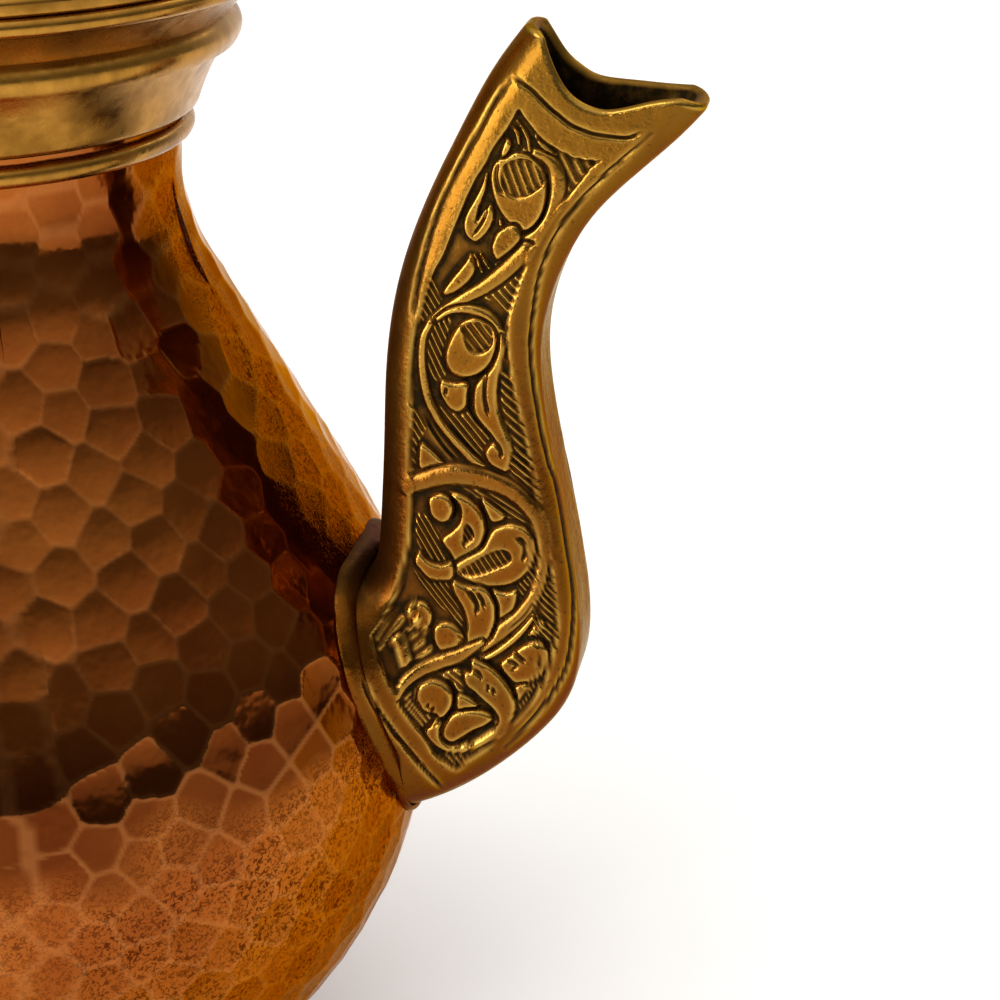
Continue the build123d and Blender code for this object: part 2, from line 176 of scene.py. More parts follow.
def placePiece(name, mesh, body, slotName, material, *nodes):
    piece = bpy.data.objects.new(name, mesh)
    bpy.context.scene.collection.objects.link(piece)
    mesh.materials.clear()
    mesh.materials.append(material)
    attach(piece, body)
    if nodes:
        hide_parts(*nodes)
    return piece


def closedPiece(name, points, faces, body, slotName, material, nodes=(), smoothAngle=40, traits=None):
    points = np.asarray(points, float)
    if signedVolume(points, faces) < 0:
        faces = [face[::-1] for face in faces]
    mesh = plainMesh(name, points, faces, smoothAngle)
    for trait, values in (traits or {}).items():
        mesh.attributes.new(trait, "FLOAT", "POINT").data.foreach_set("value", np.asarray(values, np.float32))
    print(name, len(mesh.vertices), "points", sum(len(face) - 2 for face in faces), "triangles")
    return placePiece(name, mesh, body, slotName, material, *nodes)


def gridFaces(rows, columns, start=0, flip=False, ring=False):
    # Quads of a grid of points, which closes on itself as a ring or stays open
    first = np.arange(rows * columns).reshape(rows, columns) + start
    if ring:
        first = np.hstack([first, first[:, :1]])
    a, b, c, d = first[:-1, :-1], first[:-1, 1:], first[1:, 1:], first[1:, :-1]
    faces = np.stack([a, d, c, b] if flip else [a, b, c, d], axis=-1)
    return faces.reshape(-1, 4).tolist()


def capFaces(rows, columns):
    # The two ends of a ring of columns
    return [list(range(columns)), list(range(rows * columns - 1, (rows - 1) * columns - 1, -1))]


def bandFaces(first, second):
    # Quads between two chains of as many points
    return [[int(v) for v in face] for face in zip(first[:-1], first[1:], second[1:], second[:-1])]


def around(outline, turns):
    # Grid of points from an outline of radius and height, turned about the axis
    radius, height = outline[:, :1], outline[:, 1:]
    return np.stack([radius * np.cos(turns), radius * np.sin(turns), height + 0 * turns], axis=-1)


def stitch(left, right, flip=False):
    # Triangles between two chains of points that may differ in count
    faces, i, j = [], 0, 0
    while i < len(left) - 1 or j < len(right) - 1:
        nextLeft = (i + 1) / max(len(left) - 1, 1) if i < len(left) - 1 else 2
        nextRight = (j + 1) / max(len(right) - 1, 1) if j < len(right) - 1 else 2
        if nextLeft <= nextRight:
            faces.append([left[i], left[i + 1], right[j]])
            i += 1
        else:
            faces.append([left[i], right[j + 1], right[j]])
            j += 1
    return [[int(v) for v in (face[::-1] if flip else face)] for face in faces]


def naturalSpline(values):
    # Smooth curve through evenly counted values, as a function of the count
    values = np.array(values, float)
    last = len(values) - 1
    system = np.diag([1.0] + [4.0] * (last - 1) + [1.0])
    for row in range(1, last):
        system[row, row - 1] = system[row, row + 1] = 1
    bends = np.zeros_like(values)
    bends[1:last] = 6 * (values[2:] - 2 * values[1:-1] + values[:-2])
    bends = np.linalg.solve(system, bends)

    def along(count):
        step = np.clip(np.floor(count).astype(int), 0, last - 1)
        ahead = count - step
        behind = 1 - ahead
        return (
            values[step] * behind + values[step + 1] * ahead
            + ((behind**3 - behind) * bends[step] + (ahead**3 - ahead) * bends[step + 1]) / 6
        )
    return along


# The pot's outline: foot, belly, shoulder cone and waist
potForm = dict(
    bellyRadius=67.5, shoulderLean=29.2, waistRadius=32.5, neckCurve=32.0, neckLength=17.5,
    wall=1.2, footRadius=44.0, footHeight=7.0, footBlend=4.0, panWall=1.4, bareFoot=1.5,
)
footCentre = (potForm["footRadius"] + potForm["footBlend"], potForm["footHeight"])
bellyHeight = footCentre[1] + sqrt((potForm["bellyRadius"] + potForm["footBlend"]) ** 2 - footCentre[0] ** 2)
lean = radians(potForm["shoulderLean"])
coneReach = (potForm["bellyRadius"] + potForm["neckCurve"]) * cos(lean)
coneRun = (coneReach - potForm["waistRadius"] - potForm["neckCurve"]) / sin(lean)
waistCentre = (
    potForm["waistRadius"] + potForm["neckCurve"],
    bellyHeight + (potForm["bellyRadius"] + potForm["neckCurve"]) * sin(lean) + coneRun * cos(lean),
)
neckTop = waistCentre[1] + potForm["neckLength"]


def arcPoints(centre, radius, start, end, step):
    count = max(2, int(abs(radians(end - start)) * radius / step) + 1)
    angles = np.radians(np.linspace(start, end, count))
    return np.column_stack([centre[0] + radius * np.cos(angles), centre[1] + radius * np.sin(angles)])


def neckAngle(height, radius):
    return 180 - degrees(asin((height - waistCentre[1]) / radius))


def potOutline(inset, step, neckStep):
    # Radius and height of the body's side, from the foot up to the neck's edge
    footAngle = degrees(atan2(footCentre[1] - bellyHeight, footCentre[0]))
    foot = arcPoints(footCentre, potForm["footBlend"] + inset, 180, 180 + footAngle, step)
    coneAngle = potForm["shoulderLean"]
    belly = arcPoints((0, bellyHeight), potForm["bellyRadius"] - inset, footAngle, coneAngle, step)
    neckRadius = potForm["neckCurve"] + inset
    neck = arcPoints(waistCentre, neckRadius, 180 + coneAngle, neckAngle(neckTop, neckRadius), neckStep)
    low = (potForm["footRadius"] - inset, potForm["panWall"])
    upright = np.linspace(low, foot[0], max(2, int((foot[0][1] - low[1]) / step)))[:-1]
    cone = np.linspace(belly[-1], neck[0], max(2, int(coneRun / step)))[1:-1]
    return np.vstack([upright, foot, belly[1:], cone, neck])


def aboveBody(points):
    # Distance outside the body's side, below the waist
    out = np.hypot(points[:, 0], points[:, 1])
    high = points[:, 2] - bellyHeight
    ball = np.hypot(out, high) - potForm["bellyRadius"]
    cone = out * cos(lean) + high * sin(lean) - potForm["bellyRadius"]
    return np.where(high > out * tan(lean), cone, ball)


# Hammer marks, worked on any skin by Geometry Nodes
hammerWork = dict(
    bodySpacing=6.2, domeSpacing=5.4, depth=0.30, unevenDepth=0.4, reach=5.0, seed=7, domeSeed=12,
    density=400000.0, forceScale=900.0, swing=4.0, crest=0.022,
)


def hammerTree():
    group = bpy.data.node_groups.new("hammerMarks", "GeometryNodeTree")
    kit = Tree(group)
    group.interface.new_socket("Geometry", in_out="OUTPUT", socket_type="NodeSocketGeometry")
    group.interface.new_socket("Geometry", in_out="INPUT", socket_type="NodeSocketGeometry")
    for label, kind in (
        ("Spacing", "Float"), ("Depth", "Float"), ("Uneven Depth", "Float"),
        ("Reach", "Float"), ("Seed", "Int"), ("Finish", "Material"),
    ):
        group.interface.new_socket(label, in_out="INPUT", socket_type="NodeSocket" + kind)
    given = kit.add("NodeGroupInput").outputs
    blows = kit.add(
        "GeometryNodeDistributePointsOnFaces",
        {
            "Mesh": given["Geometry"], "Distance Min": given["Spacing"], "Density Max": hammerWork["density"],
            "Seed": given["Seed"],
        },
        distribute_method="POISSON",
    ).outputs["Points"]
    place = kit.add("GeometryNodeInputPosition").outputs[0]
    nearest = kit.add(
        "GeometryNodeSampleNearest", {"Geometry": blows, "Sample Position": place}, domain="POINT",
    ).outputs[0]
    centre = kit.add(
        "GeometryNodeSampleIndex", {"Geometry": blows, "Value": place, "Index": nearest},
        data_type="FLOAT_VECTOR", domain="POINT",
    ).outputs[0]
    off = kit.measure("DISTANCE", place, centre)
    share = kit.math("MINIMUM", kit.math("DIVIDE", off, given["Reach"]), 1.0)
    bowl = kit.minus(1.0, kit.math("POWER", share, 2.0))
    force = kit.noise(centre, hammerWork["forceScale"], 0.0)
    swing = kit.times(kit.minus(force, 0.5), kit.times(given["Uneven Depth"], hammerWork["swing"]))
    deep = kit.times(given["Depth"], kit.plus(1.0, swing))
    still = kit.add("GeometryNodeInputNamedAttribute", {"Name": "still"}, data_type="FLOAT").outputs[0]
    sink = kit.times(kit.times(bowl, deep), kit.times(kit.minus(1.0, still), -1.0))
    facing = kit.add("GeometryNodeInputNormal").outputs[0]
    push = kit.add("ShaderNodeVectorMath", {0: facing, "Scale": sink}, operation="SCALE").outputs[0]
    made = kit.add("GeometryNodeSetPosition", {"Geometry": given["Geometry"], "Offset": push})
    for label, value in (("sunk", sink), ("blow", force)):
        made = kit.add(
            "GeometryNodeStoreNamedAttribute", {"Geometry": made.outputs[0], "Name": label, "Value": value},
            data_type="FLOAT", domain="POINT",
        )
    whole = kit.add("GeometryNodeRealizeInstances", {"Geometry": made.outputs[0]})
    done = kit.add("GeometryNodeSetMaterial", {"Geometry": whole.outputs[0], "Material": given["Finish"]})
    kit.add("NodeGroupOutput", {"Geometry": done.outputs[0]})
    return group


def runNodes(mesh, group, settings):
    # The plain mesh that a tree makes of this mesh
    holder = bpy.data.objects.new("bench", mesh)
    bpy.context.scene.collection.objects.link(holder)
    work = holder.modifiers.new("work", "NODES")
    work.node_group = group
    for item in group.interface.items_tree:
        if item.in_out == "INPUT" and item.name in settings:
            work[item.identifier] = settings[item.name]
    bpy.context.view_layer.update()
    made = bpy.data.meshes.new_from_object(holder.evaluated_get(bpy.context.evaluated_depsgraph_get()))
    holder.modifiers.remove(work)
    bpy.data.objects.remove(holder)
    return made


def readTrait(mesh, name):
    values = np.zeros(len(mesh.vertices), np.float32)
    mesh.attributes[name].data.foreach_get("value", values)
    return values


def hammered(points, faces, still, spacing, seed):
    # Points with the marks in them, how far each is sunk and the force of the blow on it
    skin = plainMesh("skin", points, faces, 180)
    skin.attributes.new("still", "FLOAT", "POINT").data.foreach_set("value", np.asarray(still, np.float32))
    made = runNodes(skin, hammerMarks, {
        "Spacing": spacing * metre, "Depth": hammerWork["depth"] * metre,
        "Uneven Depth": hammerWork["unevenDepth"], "Reach": hammerWork["reach"] * metre,
        "Seed": seed, "Finish": hammeredCopper,
    })
    worked = np.zeros(len(made.vertices) * 3, np.float32)
    made.vertices.foreach_get("co", worked)
    return worked.reshape(-1, 3).astype(float) / metre, readTrait(made, "sunk") / metre, readTrait(made, "blow")


def crests(sunk):
    # How far each point of a worked grid stands over its surroundings, from 0 to 1
    padded = np.pad(sunk, 2, mode="edge")
    rows, columns = sunk.shape
    mean = sum(padded[i:i + rows, j:j + columns] for i in range(5) for j in range(5)) / 25
    return np.clip((sunk - mean) / hammerWork["crest"], 0, 1)


# Finishes: each noise is a scale, a detail, a roughness and a distortion, each span the two
# values that it rises between and, where they aren't 0 and 1, what it gives there
def tone(*shown):
    # A colour as it is seen on a screen, turned into the linear numbers that shaders use
    return tuple(c / 12.92 if c <= 0.04045 else ((c + 0.055) / 1.055) ** 2.4 for c in shown) + (1.0,)


brassLook = dict(
    amber=tone(0.53, 0.36, 0.10), orange=tone(0.45, 0.252, 0.055), olive=tone(0.38, 0.29, 0.10),
    worn=tone(0.82, 0.66, 0.30), soot=tone(0.065, 0.038, 0.015), grazing=tone(0.82, 0.68, 0.40),
    drift=(42.0, 4.0), driftReach=0.12, paintedLightHeight=(0.095, 0.165), wearAndSheenShare=0.55,
    patch=((95.0, 5.0, 0.6), (0.52, 0.72)), patchShare=0.5,
    pits=((1500.0, 2.0), (0.60, 0.70)), stain=((330.0, 5.0, 0.7), (0.52, 0.72, 0.0, 0.75)), marks=0.5,
    mottle=((420.0, 4.0, 0.65), (0.35, 0.75, 0.8, 1.2)), dullMetal=0.4,
    rough=((260.0, 4.0, 0.6), (0.3, 0.7, 0.09, 0.23)), dullRough=0.46,
    grain=(1100.0, 3.0, 0.6), grainShare=0.3, swell=(150.0, 2.0), bump=(0.55, 0.0005),
)


def makeCastBrass(name, look):
    material, kit, place = shaderTree(name)
    soot, worn = kit.trait("soot"), kit.trait("worn")
    height = kit.add("ShaderNodeSeparateXYZ", {0: place}).outputs[2]
    # Painted light: orange low on the spout, turning to yellower amber higher up
    drift = kit.times(kit.minus(kit.noise(place, *look["drift"]), 0.5), look["driftReach"])
    colour = kit.mix(kit.span(kit.plus(height, drift), *look["paintedLightHeight"]), look["orange"], look["amber"])
    colour = kit.mix(kit.times(kit.cloud(place, *look["patch"]), look["patchShare"]), colour, look["olive"])
    # Raised crests lighter, as wear and as a painted highlight
    colour = kit.mix(kit.times(worn, look["wearAndSheenShare"]), colour, look["worn"])
    # Dirt in the carving, with the painted shade that the spout carries in it, and pits and stains where it
    # isn't worn
    marks = kit.most(kit.cloud(place, *look["pits"]), kit.cloud(place, *look["stain"]))
    marks = kit.times(marks, kit.minus(look["marks"], kit.times(worn, look["marks"])))
    mask = kit.times(kit.most(soot, marks), kit.cloud(place, *look["mottle"]))
    mask = kit.math("MINIMUM", mask, 1.0)
    rough = kit.plus(kit.cloud(place, *look["rough"]), kit.times(mask, look["dullRough"]))
    grain = kit.times(kit.noise(place, *look["grain"]), look["grainShare"])
    grain = kit.plus(grain, kit.noise(place, *look["swell"]))
    finishShader(kit, {
        "Base Color": kit.mix(mask, colour, look["soot"]), "Roughness": rough,
        "Metallic": kit.minus(1.0, kit.times(mask, look["dullMetal"])),
        "Normal": kit.bump(grain, *look["bump"]), "Specular Tint": look["grazing"],
    })
    return material


copperLook = dict(
    red=tone(0.56, 0.28, 0.10), orange=tone(0.66, 0.37, 0.14), dark=tone(0.27, 0.10, 0.03),
    worn=tone(0.80, 0.52, 0.28), tin=tone(0.62, 0.61, 0.58), grazing=tone(0.90, 0.72, 0.48),
    broad=((30.0, 5.0, 0.6), (0.35, 0.65)), blow=(0.35, 0.65, 0.0, 0.14), drift=(38.0, 3.0), driftReach=0.03,
    # Where the painted shade on the belly lies: its height and front, and the side and foot that it is kept off
    unshadedSide=(0.008, 0.013), sideSlope=0.42, unshadedFoot=(0.071, 0.063),
    rubbedPatch=((14.0, 3.0), (0.60, 0.68)), shadeAndTarnish=(0.090, 0.078), shadeFront=(-0.012, -0.026),
    shadeShare=0.75, cloudy=((17.0, 3.0), (0.5, 0.62, 0.0, 0.35)),
    worm=((1500.0, 2.0, 0.5, 1.2), (0.49, 0.58)), wormZone=((90.0, 3.0), (0.36, 0.56, 0.45, 0.95)),
    wormShare=0.08, wormRubbed=0.85, wormDepth=-0.4, crestWearAndSheen=0.2,
    rough=((300.0, 4.0, 0.6), (0.3, 0.7, 0.07, 0.17)), rubbedRough=0.08,
    swell=(240.0, 2.0), bump=(0.25, 0.0004),
)


def makeHammeredCopper(name, look):
    material, kit, place = shaderTree(name)
    crest, blow, tin = kit.trait("crest"), kit.trait("blow"), kit.trait("tin")
    colour = kit.mix(kit.cloud(place, *look["broad"]), look["red"], look["orange"])
    colour = kit.mix(kit.span(blow, *look["blow"]), colour, look["dark"])
    # Painted shade darkens the upper front of the belly; it is kept off beside the spout, low on the belly and
    # in rubbed bright patches, and random tarnished clouds lie over it
    towards = kit.add("ShaderNodeSeparateXYZ", {0: place}).outputs
    drift = kit.times(kit.minus(kit.noise(place, *look["drift"]), 0.5), look["driftReach"])
    beside = kit.minus(kit.times(towards[0], look["sideSlope"]), kit.math("ABSOLUTE", towards[1]))
    rubbedAndUnshaded = kit.span(kit.plus(beside, drift), *look["unshadedSide"])
    rubbedAndUnshaded = kit.most(rubbedAndUnshaded, kit.span(kit.plus(towards[2], drift), *look["unshadedFoot"]))
    rubbedAndUnshaded = kit.most(rubbedAndUnshaded, kit.cloud(place, *look["rubbedPatch"]))
    shadeAndTarnish = kit.times(kit.span(towards[2], *look["shadeAndTarnish"]), kit.span(towards[1], *look["shadeFront"]))
    shadeAndTarnish = kit.most(kit.times(shadeAndTarnish, look["shadeShare"]), kit.cloud(place, *look["cloudy"]))
    colour = kit.mix(kit.times(shadeAndTarnish, kit.minus(1.0, rubbedAndUnshaded)), colour, look["dark"])
    # Fine dark veins, strongest in the rubbed patches and where the painted shade is kept off
    worm, zone = kit.cloud(place, *look["worm"]), kit.cloud(place, *look["wormZone"])
    veins = kit.plus(look["wormShare"], kit.times(rubbedAndUnshaded, look["wormRubbed"]))
    colour = kit.mix(kit.times(kit.times(worm, zone), veins), colour, look["dark"])
    # Crests of the hammer marks lighter, as wear and as a painted highlight
    colour = kit.mix(kit.times(crest, look["crestWearAndSheen"]), colour, look["worn"])
    colour = kit.mix(tin, colour, look["tin"])
    rough = kit.plus(kit.cloud(place, *look["rough"]), kit.times(rubbedAndUnshaded, look["rubbedRough"]))
    grain = kit.plus(kit.times(kit.times(worm, rubbedAndUnshaded), look["wormDepth"]), kit.noise(place, *look["swell"]))
    finishShader(kit, {
        "Base Color": colour, "Metallic": 1.0, "Roughness": rough,
        "Normal": kit.bump(grain, *look["bump"]), "Specular Tint": look["grazing"],
    })
    return material


plainLook = dict(
    stain=(5.0, 0.6), stained=(0.40, 0.68), stainShare=0.7, wearScale=4, wearDetail=3.0,
    worn=(0.3, 0.7), polish=(-0.05, 0.12), bump=(0.2, 0.0003),
)


def makePlainMetal(name, light, deep, polish, scale):
    material, kit, place = shaderTree(name)
    stain = kit.cloud(place, (scale, *plainLook["stain"]), plainLook["stained"])
    wear = kit.noise(place, plainLook["wearScale"] * scale, plainLook["wearDetail"])
    finishShader(kit, {
        "Base Color": kit.mix(kit.times(stain, plainLook["stainShare"]), tone(*light), tone(*deep)),
        "Metallic": 1.0, "Normal": kit.bump(wear, *plainLook["bump"]),
        "Roughness": kit.span(wear, *plainLook["worn"], *(polish + more for more in plainLook["polish"])),
    })
    return material


castBrass = makeCastBrass("castBrass", brassLook)
hammeredCopper = makeHammeredCopper("hammeredCopper", copperLook)
turnedBrass = makePlainMetal("turnedBrass", (0.70, 0.50, 0.20), (0.42, 0.27, 0.07), polish=0.24, scale=90.0)
rivetCopper = makePlainMetal("rivetCopper", (0.72, 0.42, 0.24), (0.36, 0.17, 0.08), polish=0.3, scale=500.0)
ironPin = makePlainMetal("ironPin", (0.52, 0.50, 0.46), (0.30, 0.26, 0.21), polish=0.38, scale=500.0)
hammerMarks = hammerTree()


# Carved panel of the spout, read on four enlarged crops of the photograph.
# Each part has its crop's corner in the photograph and how much the crop was enlarged.
carvedTop = dict(
    corner=(470, 90), zoom=9.22,
    stems=[
        dict(line=[(500, 575), (600, 590), (700, 630), (780, 730), (800, 850), (795, 960), (750, 1090),
            (660, 1230), (560, 1380), (440, 1510), (300, 1640)], wide=(60, 125, 130, 118)),
        dict(line=[(425, 285), (485, 360), (528, 450), (545, 560)], wide=(10, 34, 30)),
        dict(line=[(385, 345), (432, 405), (448, 500)], wide=(12, 34, 24)),
        dict(line=[(596, 415), (640, 490), (720, 560), (790, 600)], wide=(10, 40, 14)),
    ],
    leaves=[
        dict(edge=[(430, 580), (330, 610), (262, 640), (208, 710), (186, 810), (200, 930), (232, 1040),
            (290, 1150), (370, 1240), (460, 1298), (540, 1288), (612, 1225), (668, 1130), (696, 1010),
            (702, 880), (670, 760), (600, 660), (520, 600)], crown=42),
        dict(edge=[(340, 455), (300, 530), (284, 620), (340, 590), (376, 510)], crown=30),
        dict(edge=[(152, 775), (105, 880), (45, 1000), (-30, 1130), (-60, 1240), (-40, 1340), (30, 1400),
            (90, 1380), (170, 1290), (215, 1180), (190, 1060), (130, 1120), (60, 1210), (75, 1090),
            (140, 930)], crown=34),
        dict(edge=[(268, 1205), (262, 1290), (205, 1390), (190, 1480), (235, 1560), (290, 1610), (390, 1510),
            (470, 1390), (430, 1330), (340, 1290)], crown=36),
    ],
    eyes=[
        dict(edge=[(318, 682), (400, 642), (500, 630), (585, 660), (645, 725), (682, 800), (690, 880),
            (645, 905), (560, 965), (470, 1000), (380, 990), (318, 930), (284, 850),
            (284, 760)], lean=70, pitch=72),
    ],
    cuts=[
        dict(line=[(262, 660), (240, 780), (262, 900), (320, 980)], wide=30),
        dict(line=[(610, 690), (700, 800), (722, 930), (706, 1060), (655, 1190), (560, 1300), (440, 1330),
            (330, 1270)], wide=34),
        dict(line=[(165, 1085), (110, 1220), (20, 1350)], wide=20),
    ],
    hatches=[
        dict(edge=[(590, 400), (700, 480), (860, 560), (1180, 650), (1020, 840), (880, 980), (890, 860),
            (830, 720), (720, 590)], lean=63, pitch=88),
    ],
)
carvedMiddle = dict(
    corner=(405, 230), zoom=6.272,
    stems=[
        dict(line=[(760, 130), (690, 200), (590, 290), (480, 370), (370, 430), (250, 500),
            (150, 580)], wide=(88, 80, 60, 34)),
        dict(line=[(150, 590), (110, 680), (100, 800), (110, 930), (140, 1060), (200, 1180), (290, 1300),
            (390, 1410), (470, 1490)], wide=(40, 46, 54, 50)),
        dict(line=[(200, 560), (270, 515), (350, 500), (430, 508), (500, 540), (560, 600),
            (594, 680)], wide=(26, 44, 58, 56)),
        dict(line=[(430, 160), (455, 215), (482, 268)], wide=(10, 18, 12)),
        dict(line=[(470, 148), (498, 200), (525, 245)], wide=(10, 18, 12)),
    ],
    leaves=[
        dict(edge=[(410, 158), (350, 230), (290, 300), (240, 370), (232, 410), (290, 402), (360, 360),
            (418, 300), (440, 240)], crown=34),
        dict(edge=[(590, 0), (552, 60), (538, 120), (568, 190), (625, 160), (690, 105), (725, 50),
            (690, -30)], crown=34),
        dict(edge=[(345, 588), (300, 640), (262, 720), (244, 800), (262, 872), (310, 916), (380, 930),
            (450, 912), (512, 868), (566, 800), (582, 720), (560, 640), (510, 585), (430, 556)], crown=40),
        dict(edge=[(222, 950), (300, 964), (388, 962), (398, 1040), (386, 1104), (340, 1142), (290, 1136),
            (240, 1080), (212, 1010)], crown=32),
        dict(edge=[(600, 660), (624, 740), (604, 850), (582, 950), (578, 1080), (602, 1180), (642, 1280),
            (670, 1380), (662, 1450), (636, 1522), (590, 1508), (540, 1482), (504, 1440), (498, 1392),
            (528, 1345), (560, 1334), (534, 1290), (474, 1220), (430, 1150), (424, 1050), (444, 960),
            (505, 905), (545, 850), (580, 760)], crown=34),
        dict(edge=[(92, 1350), (150, 1372), (240, 1470), (150, 1492), (88, 1502)], crown=24),
    ],
    eyes=[
        dict(edge=[(352, 598), (430, 572), (506, 590), (552, 640), (554, 702), (520, 757), (470, 780),
            (416, 766), (380, 715), (362, 650)], lean=53, pitch=44),
    ],
    cuts=[
        dict(line=[(518, 885), (500, 960), (498, 1060), (526, 1175)], wide=20),
        dict(line=[(556, 1318), (592, 1370), (606, 1432)], wide=18),
        dict(line=[(330, 940), (430, 935), (500, 890), (530, 860)], wide=18),
        dict(line=[(402, 960), (398, 1090), (440, 1190), (530, 1290), (575, 1345)], wide=22),
        dict(line=[(115, 1165), (175, 1280), (262, 1398), (350, 1480)], wide=12),
        dict(line=[(190, 1110), (260, 1220), (350, 1320), (440, 1410), (500, 1455)], wide=16),
        dict(line=[(255, 985), (252, 1035)], wide=16),
    ],
    hatches=[
        dict(edge=[(770, 210), (650, 325), (540, 400), (470, 436), (560, 462), (640, 540),
            (700, 420)], lean=48, pitch=44),
        dict(edge=[(205, 1110), (330, 1160), (390, 1150), (440, 1215), (530, 1310), (498, 1390), (500, 1450),
            (400, 1370), (290, 1250)], lean=51, pitch=38),
        dict(edge=[(600, 870), (640, 880), (680, 960), (720, 1150), (750, 1250), (770, 1380), (790, 1545),
            (660, 1530), (680, 1400), (660, 1300), (620, 1200), (592, 1060)], lean=38, pitch=46),
        dict(edge=[(150, 250), (220, 420), (230, 460), (110, 600), (80, 600), (120, 400)], lean=60, pitch=34),
        dict(edge=[(120, 620), (250, 560), (290, 560), (250, 760), (262, 900), (200, 960),
            (140, 880)], lean=65, pitch=34),
        dict(edge=[(30, 1100), (60, 1120), (130, 1250), (90, 1340), (100, 1540),
            (40, 1540)], lean=60, pitch=32),
    ],
)
carvedBelly = dict(
    corner=(395, 450), zoom=8.04,
    stems=[
        dict(line=[(110, 290), (230, 248), (340, 216), (460, 205), (600, 216), (740, 250), (870, 300),
            (980, 370), (1080, 460), (1150, 560), (1185, 680), (1200, 800), (1196, 900), (1180, 1010),
            (1150, 1110), (1100, 1200), (1030, 1300), (940, 1390), (830, 1480),
            (700, 1560)], wide=(110, 130, 130, 120, 112, 95, 80, 84, 100, 110)),
    ],
    leaves=[
        dict(edge=[(270, 385), (350, 356), (430, 385), (462, 450), (462, 510), (430, 570), (360, 588),
            (300, 550), (268, 480)], crown=40),
        dict(edge=[(440, 350), (530, 368), (630, 430), (702, 530), (722, 640), (700, 740), (650, 810),
            (600, 850), (540, 890), (480, 930), (462, 880), (420, 810), (372, 750), (382, 700), (450, 650),
            (505, 590), (524, 500), (500, 430), (450, 375)], crown=44),
        dict(edge=[(640, 825), (702, 780), (742, 700), (782, 640), (860, 604), (960, 600), (1050, 630),
            (1112, 700), (1134, 790), (1112, 900), (1060, 990), (980, 1060), (880, 1096), (760, 1102),
            (680, 1092), (580, 1050), (500, 1005), (458, 965), (500, 900)], crown=44),
        dict(edge=[(460, 1050), (560, 1092), (690, 1100), (765, 1150), (804, 1230), (814, 1330), (794, 1430),
            (740, 1530), (640, 1570), (550, 1560), (572, 1440), (560, 1340), (528, 1260), (480, 1180),
            (452, 1110)], crown=44),
        dict(edge=[(782, 1136), (880, 1150), (972, 1130), (976, 1200), (950, 1282), (900, 1322), (830, 1352),
            (826, 1250)], crown=34),
        dict(edge=[(700, 395), (785, 450), (884, 532), (870, 562), (780, 582), (742, 520),
            (708, 450)], crown=26),
        dict(edge=[(190, 820), (260, 890), (350, 926), (452, 905), (472, 980), (450, 1042), (370, 1052),
            (270, 1040), (200, 970), (150, 900)], crown=34),
        dict(edge=[(88, 1285), (130, 1232), (230, 1230), (292, 1300), (290, 1390), (240, 1442), (170, 1432),
            (110, 1370)], crown=34),
        dict(edge=[(1130, 1400), (1204, 1388), (1192, 1440), (1130, 1482), (1065, 1504)], crown=20),
    ],
    eyes=[
        dict(edge=[(556, 598), (604, 612), (632, 670), (622, 722), (582, 752), (560, 784), (540, 740),
            (544, 670)], lean=60, pitch=34),
        dict(edge=[(486, 984), (600, 912), (740, 832), (850, 800), (920, 826), (932, 888), (880, 930),
            (800, 962), (700, 1000), (600, 1020), (530, 1012)], lean=55, pitch=44),
    ],
    cuts=[
        dict(line=[(640, 360), (702, 470), (742, 600), (735, 700), (690, 780), (632, 826)], wide=26),
        dict(line=[(965, 698), (1025, 735), (1044, 800), (1026, 905)], wide=34),
        dict(line=[(565, 1118), (625, 1175), (655, 1250), (650, 1330)], wide=30),
        dict(line=[(650, 1140), (700, 1200), (715, 1270)], wide=16),
        dict(line=[(700, 1098), (775, 1150), (812, 1230), (818, 1340), (790, 1450), (735, 1540)], wide=22),
        dict(line=[(905, 1450), (1040, 1330), (1130, 1190)], wide=14),
        dict(line=[(440, 380), (478, 440), (482, 500), (440, 580)], wide=24),
    ],
    hatches=[
        dict(edge=[(170, 520), (270, 545), (330, 620), (372, 690), (372, 780), (440, 880), (350, 912),
            (250, 880), (190, 800), (155, 680)], lean=60, pitch=42),
        dict(edge=[(480, 285), (620, 285), (830, 375), (1030, 485), (1120, 610), (940, 570), (860, 560),
            (760, 570), (700, 470), (620, 370)], lean=33, pitch=44),
        dict(edge=[(900, 180), (960, 40), (1080, 30), (1110, 200), (1150, 400), (1130, 420), (1050, 340),
            (960, 262)], lean=38, pitch=50),
        dict(edge=[(970, 1070), (1120, 940), (1110, 1060), (1050, 1200), (950, 1330), (820, 1440), (800, 1480),
            (796, 1430), (832, 1352), (940, 1292), (985, 1200)], lean=48, pitch=40),
        dict(edge=[(110, 900), (200, 980), (300, 1050), (452, 1060), (462, 1150), (540, 1280), (562, 1380),
            (540, 1440), (440, 1340), (330, 1250), (200, 1080)], lean=52, pitch=36),
        dict(edge=[(1250, 900), (1290, 1050), (1302, 1200), (1300, 1400), (1300, 1540), (1040, 1540),
            (1060, 1505), (1190, 1440), (1170, 1220), (1230, 1080)], lean=40, pitch=44),
    ],
)
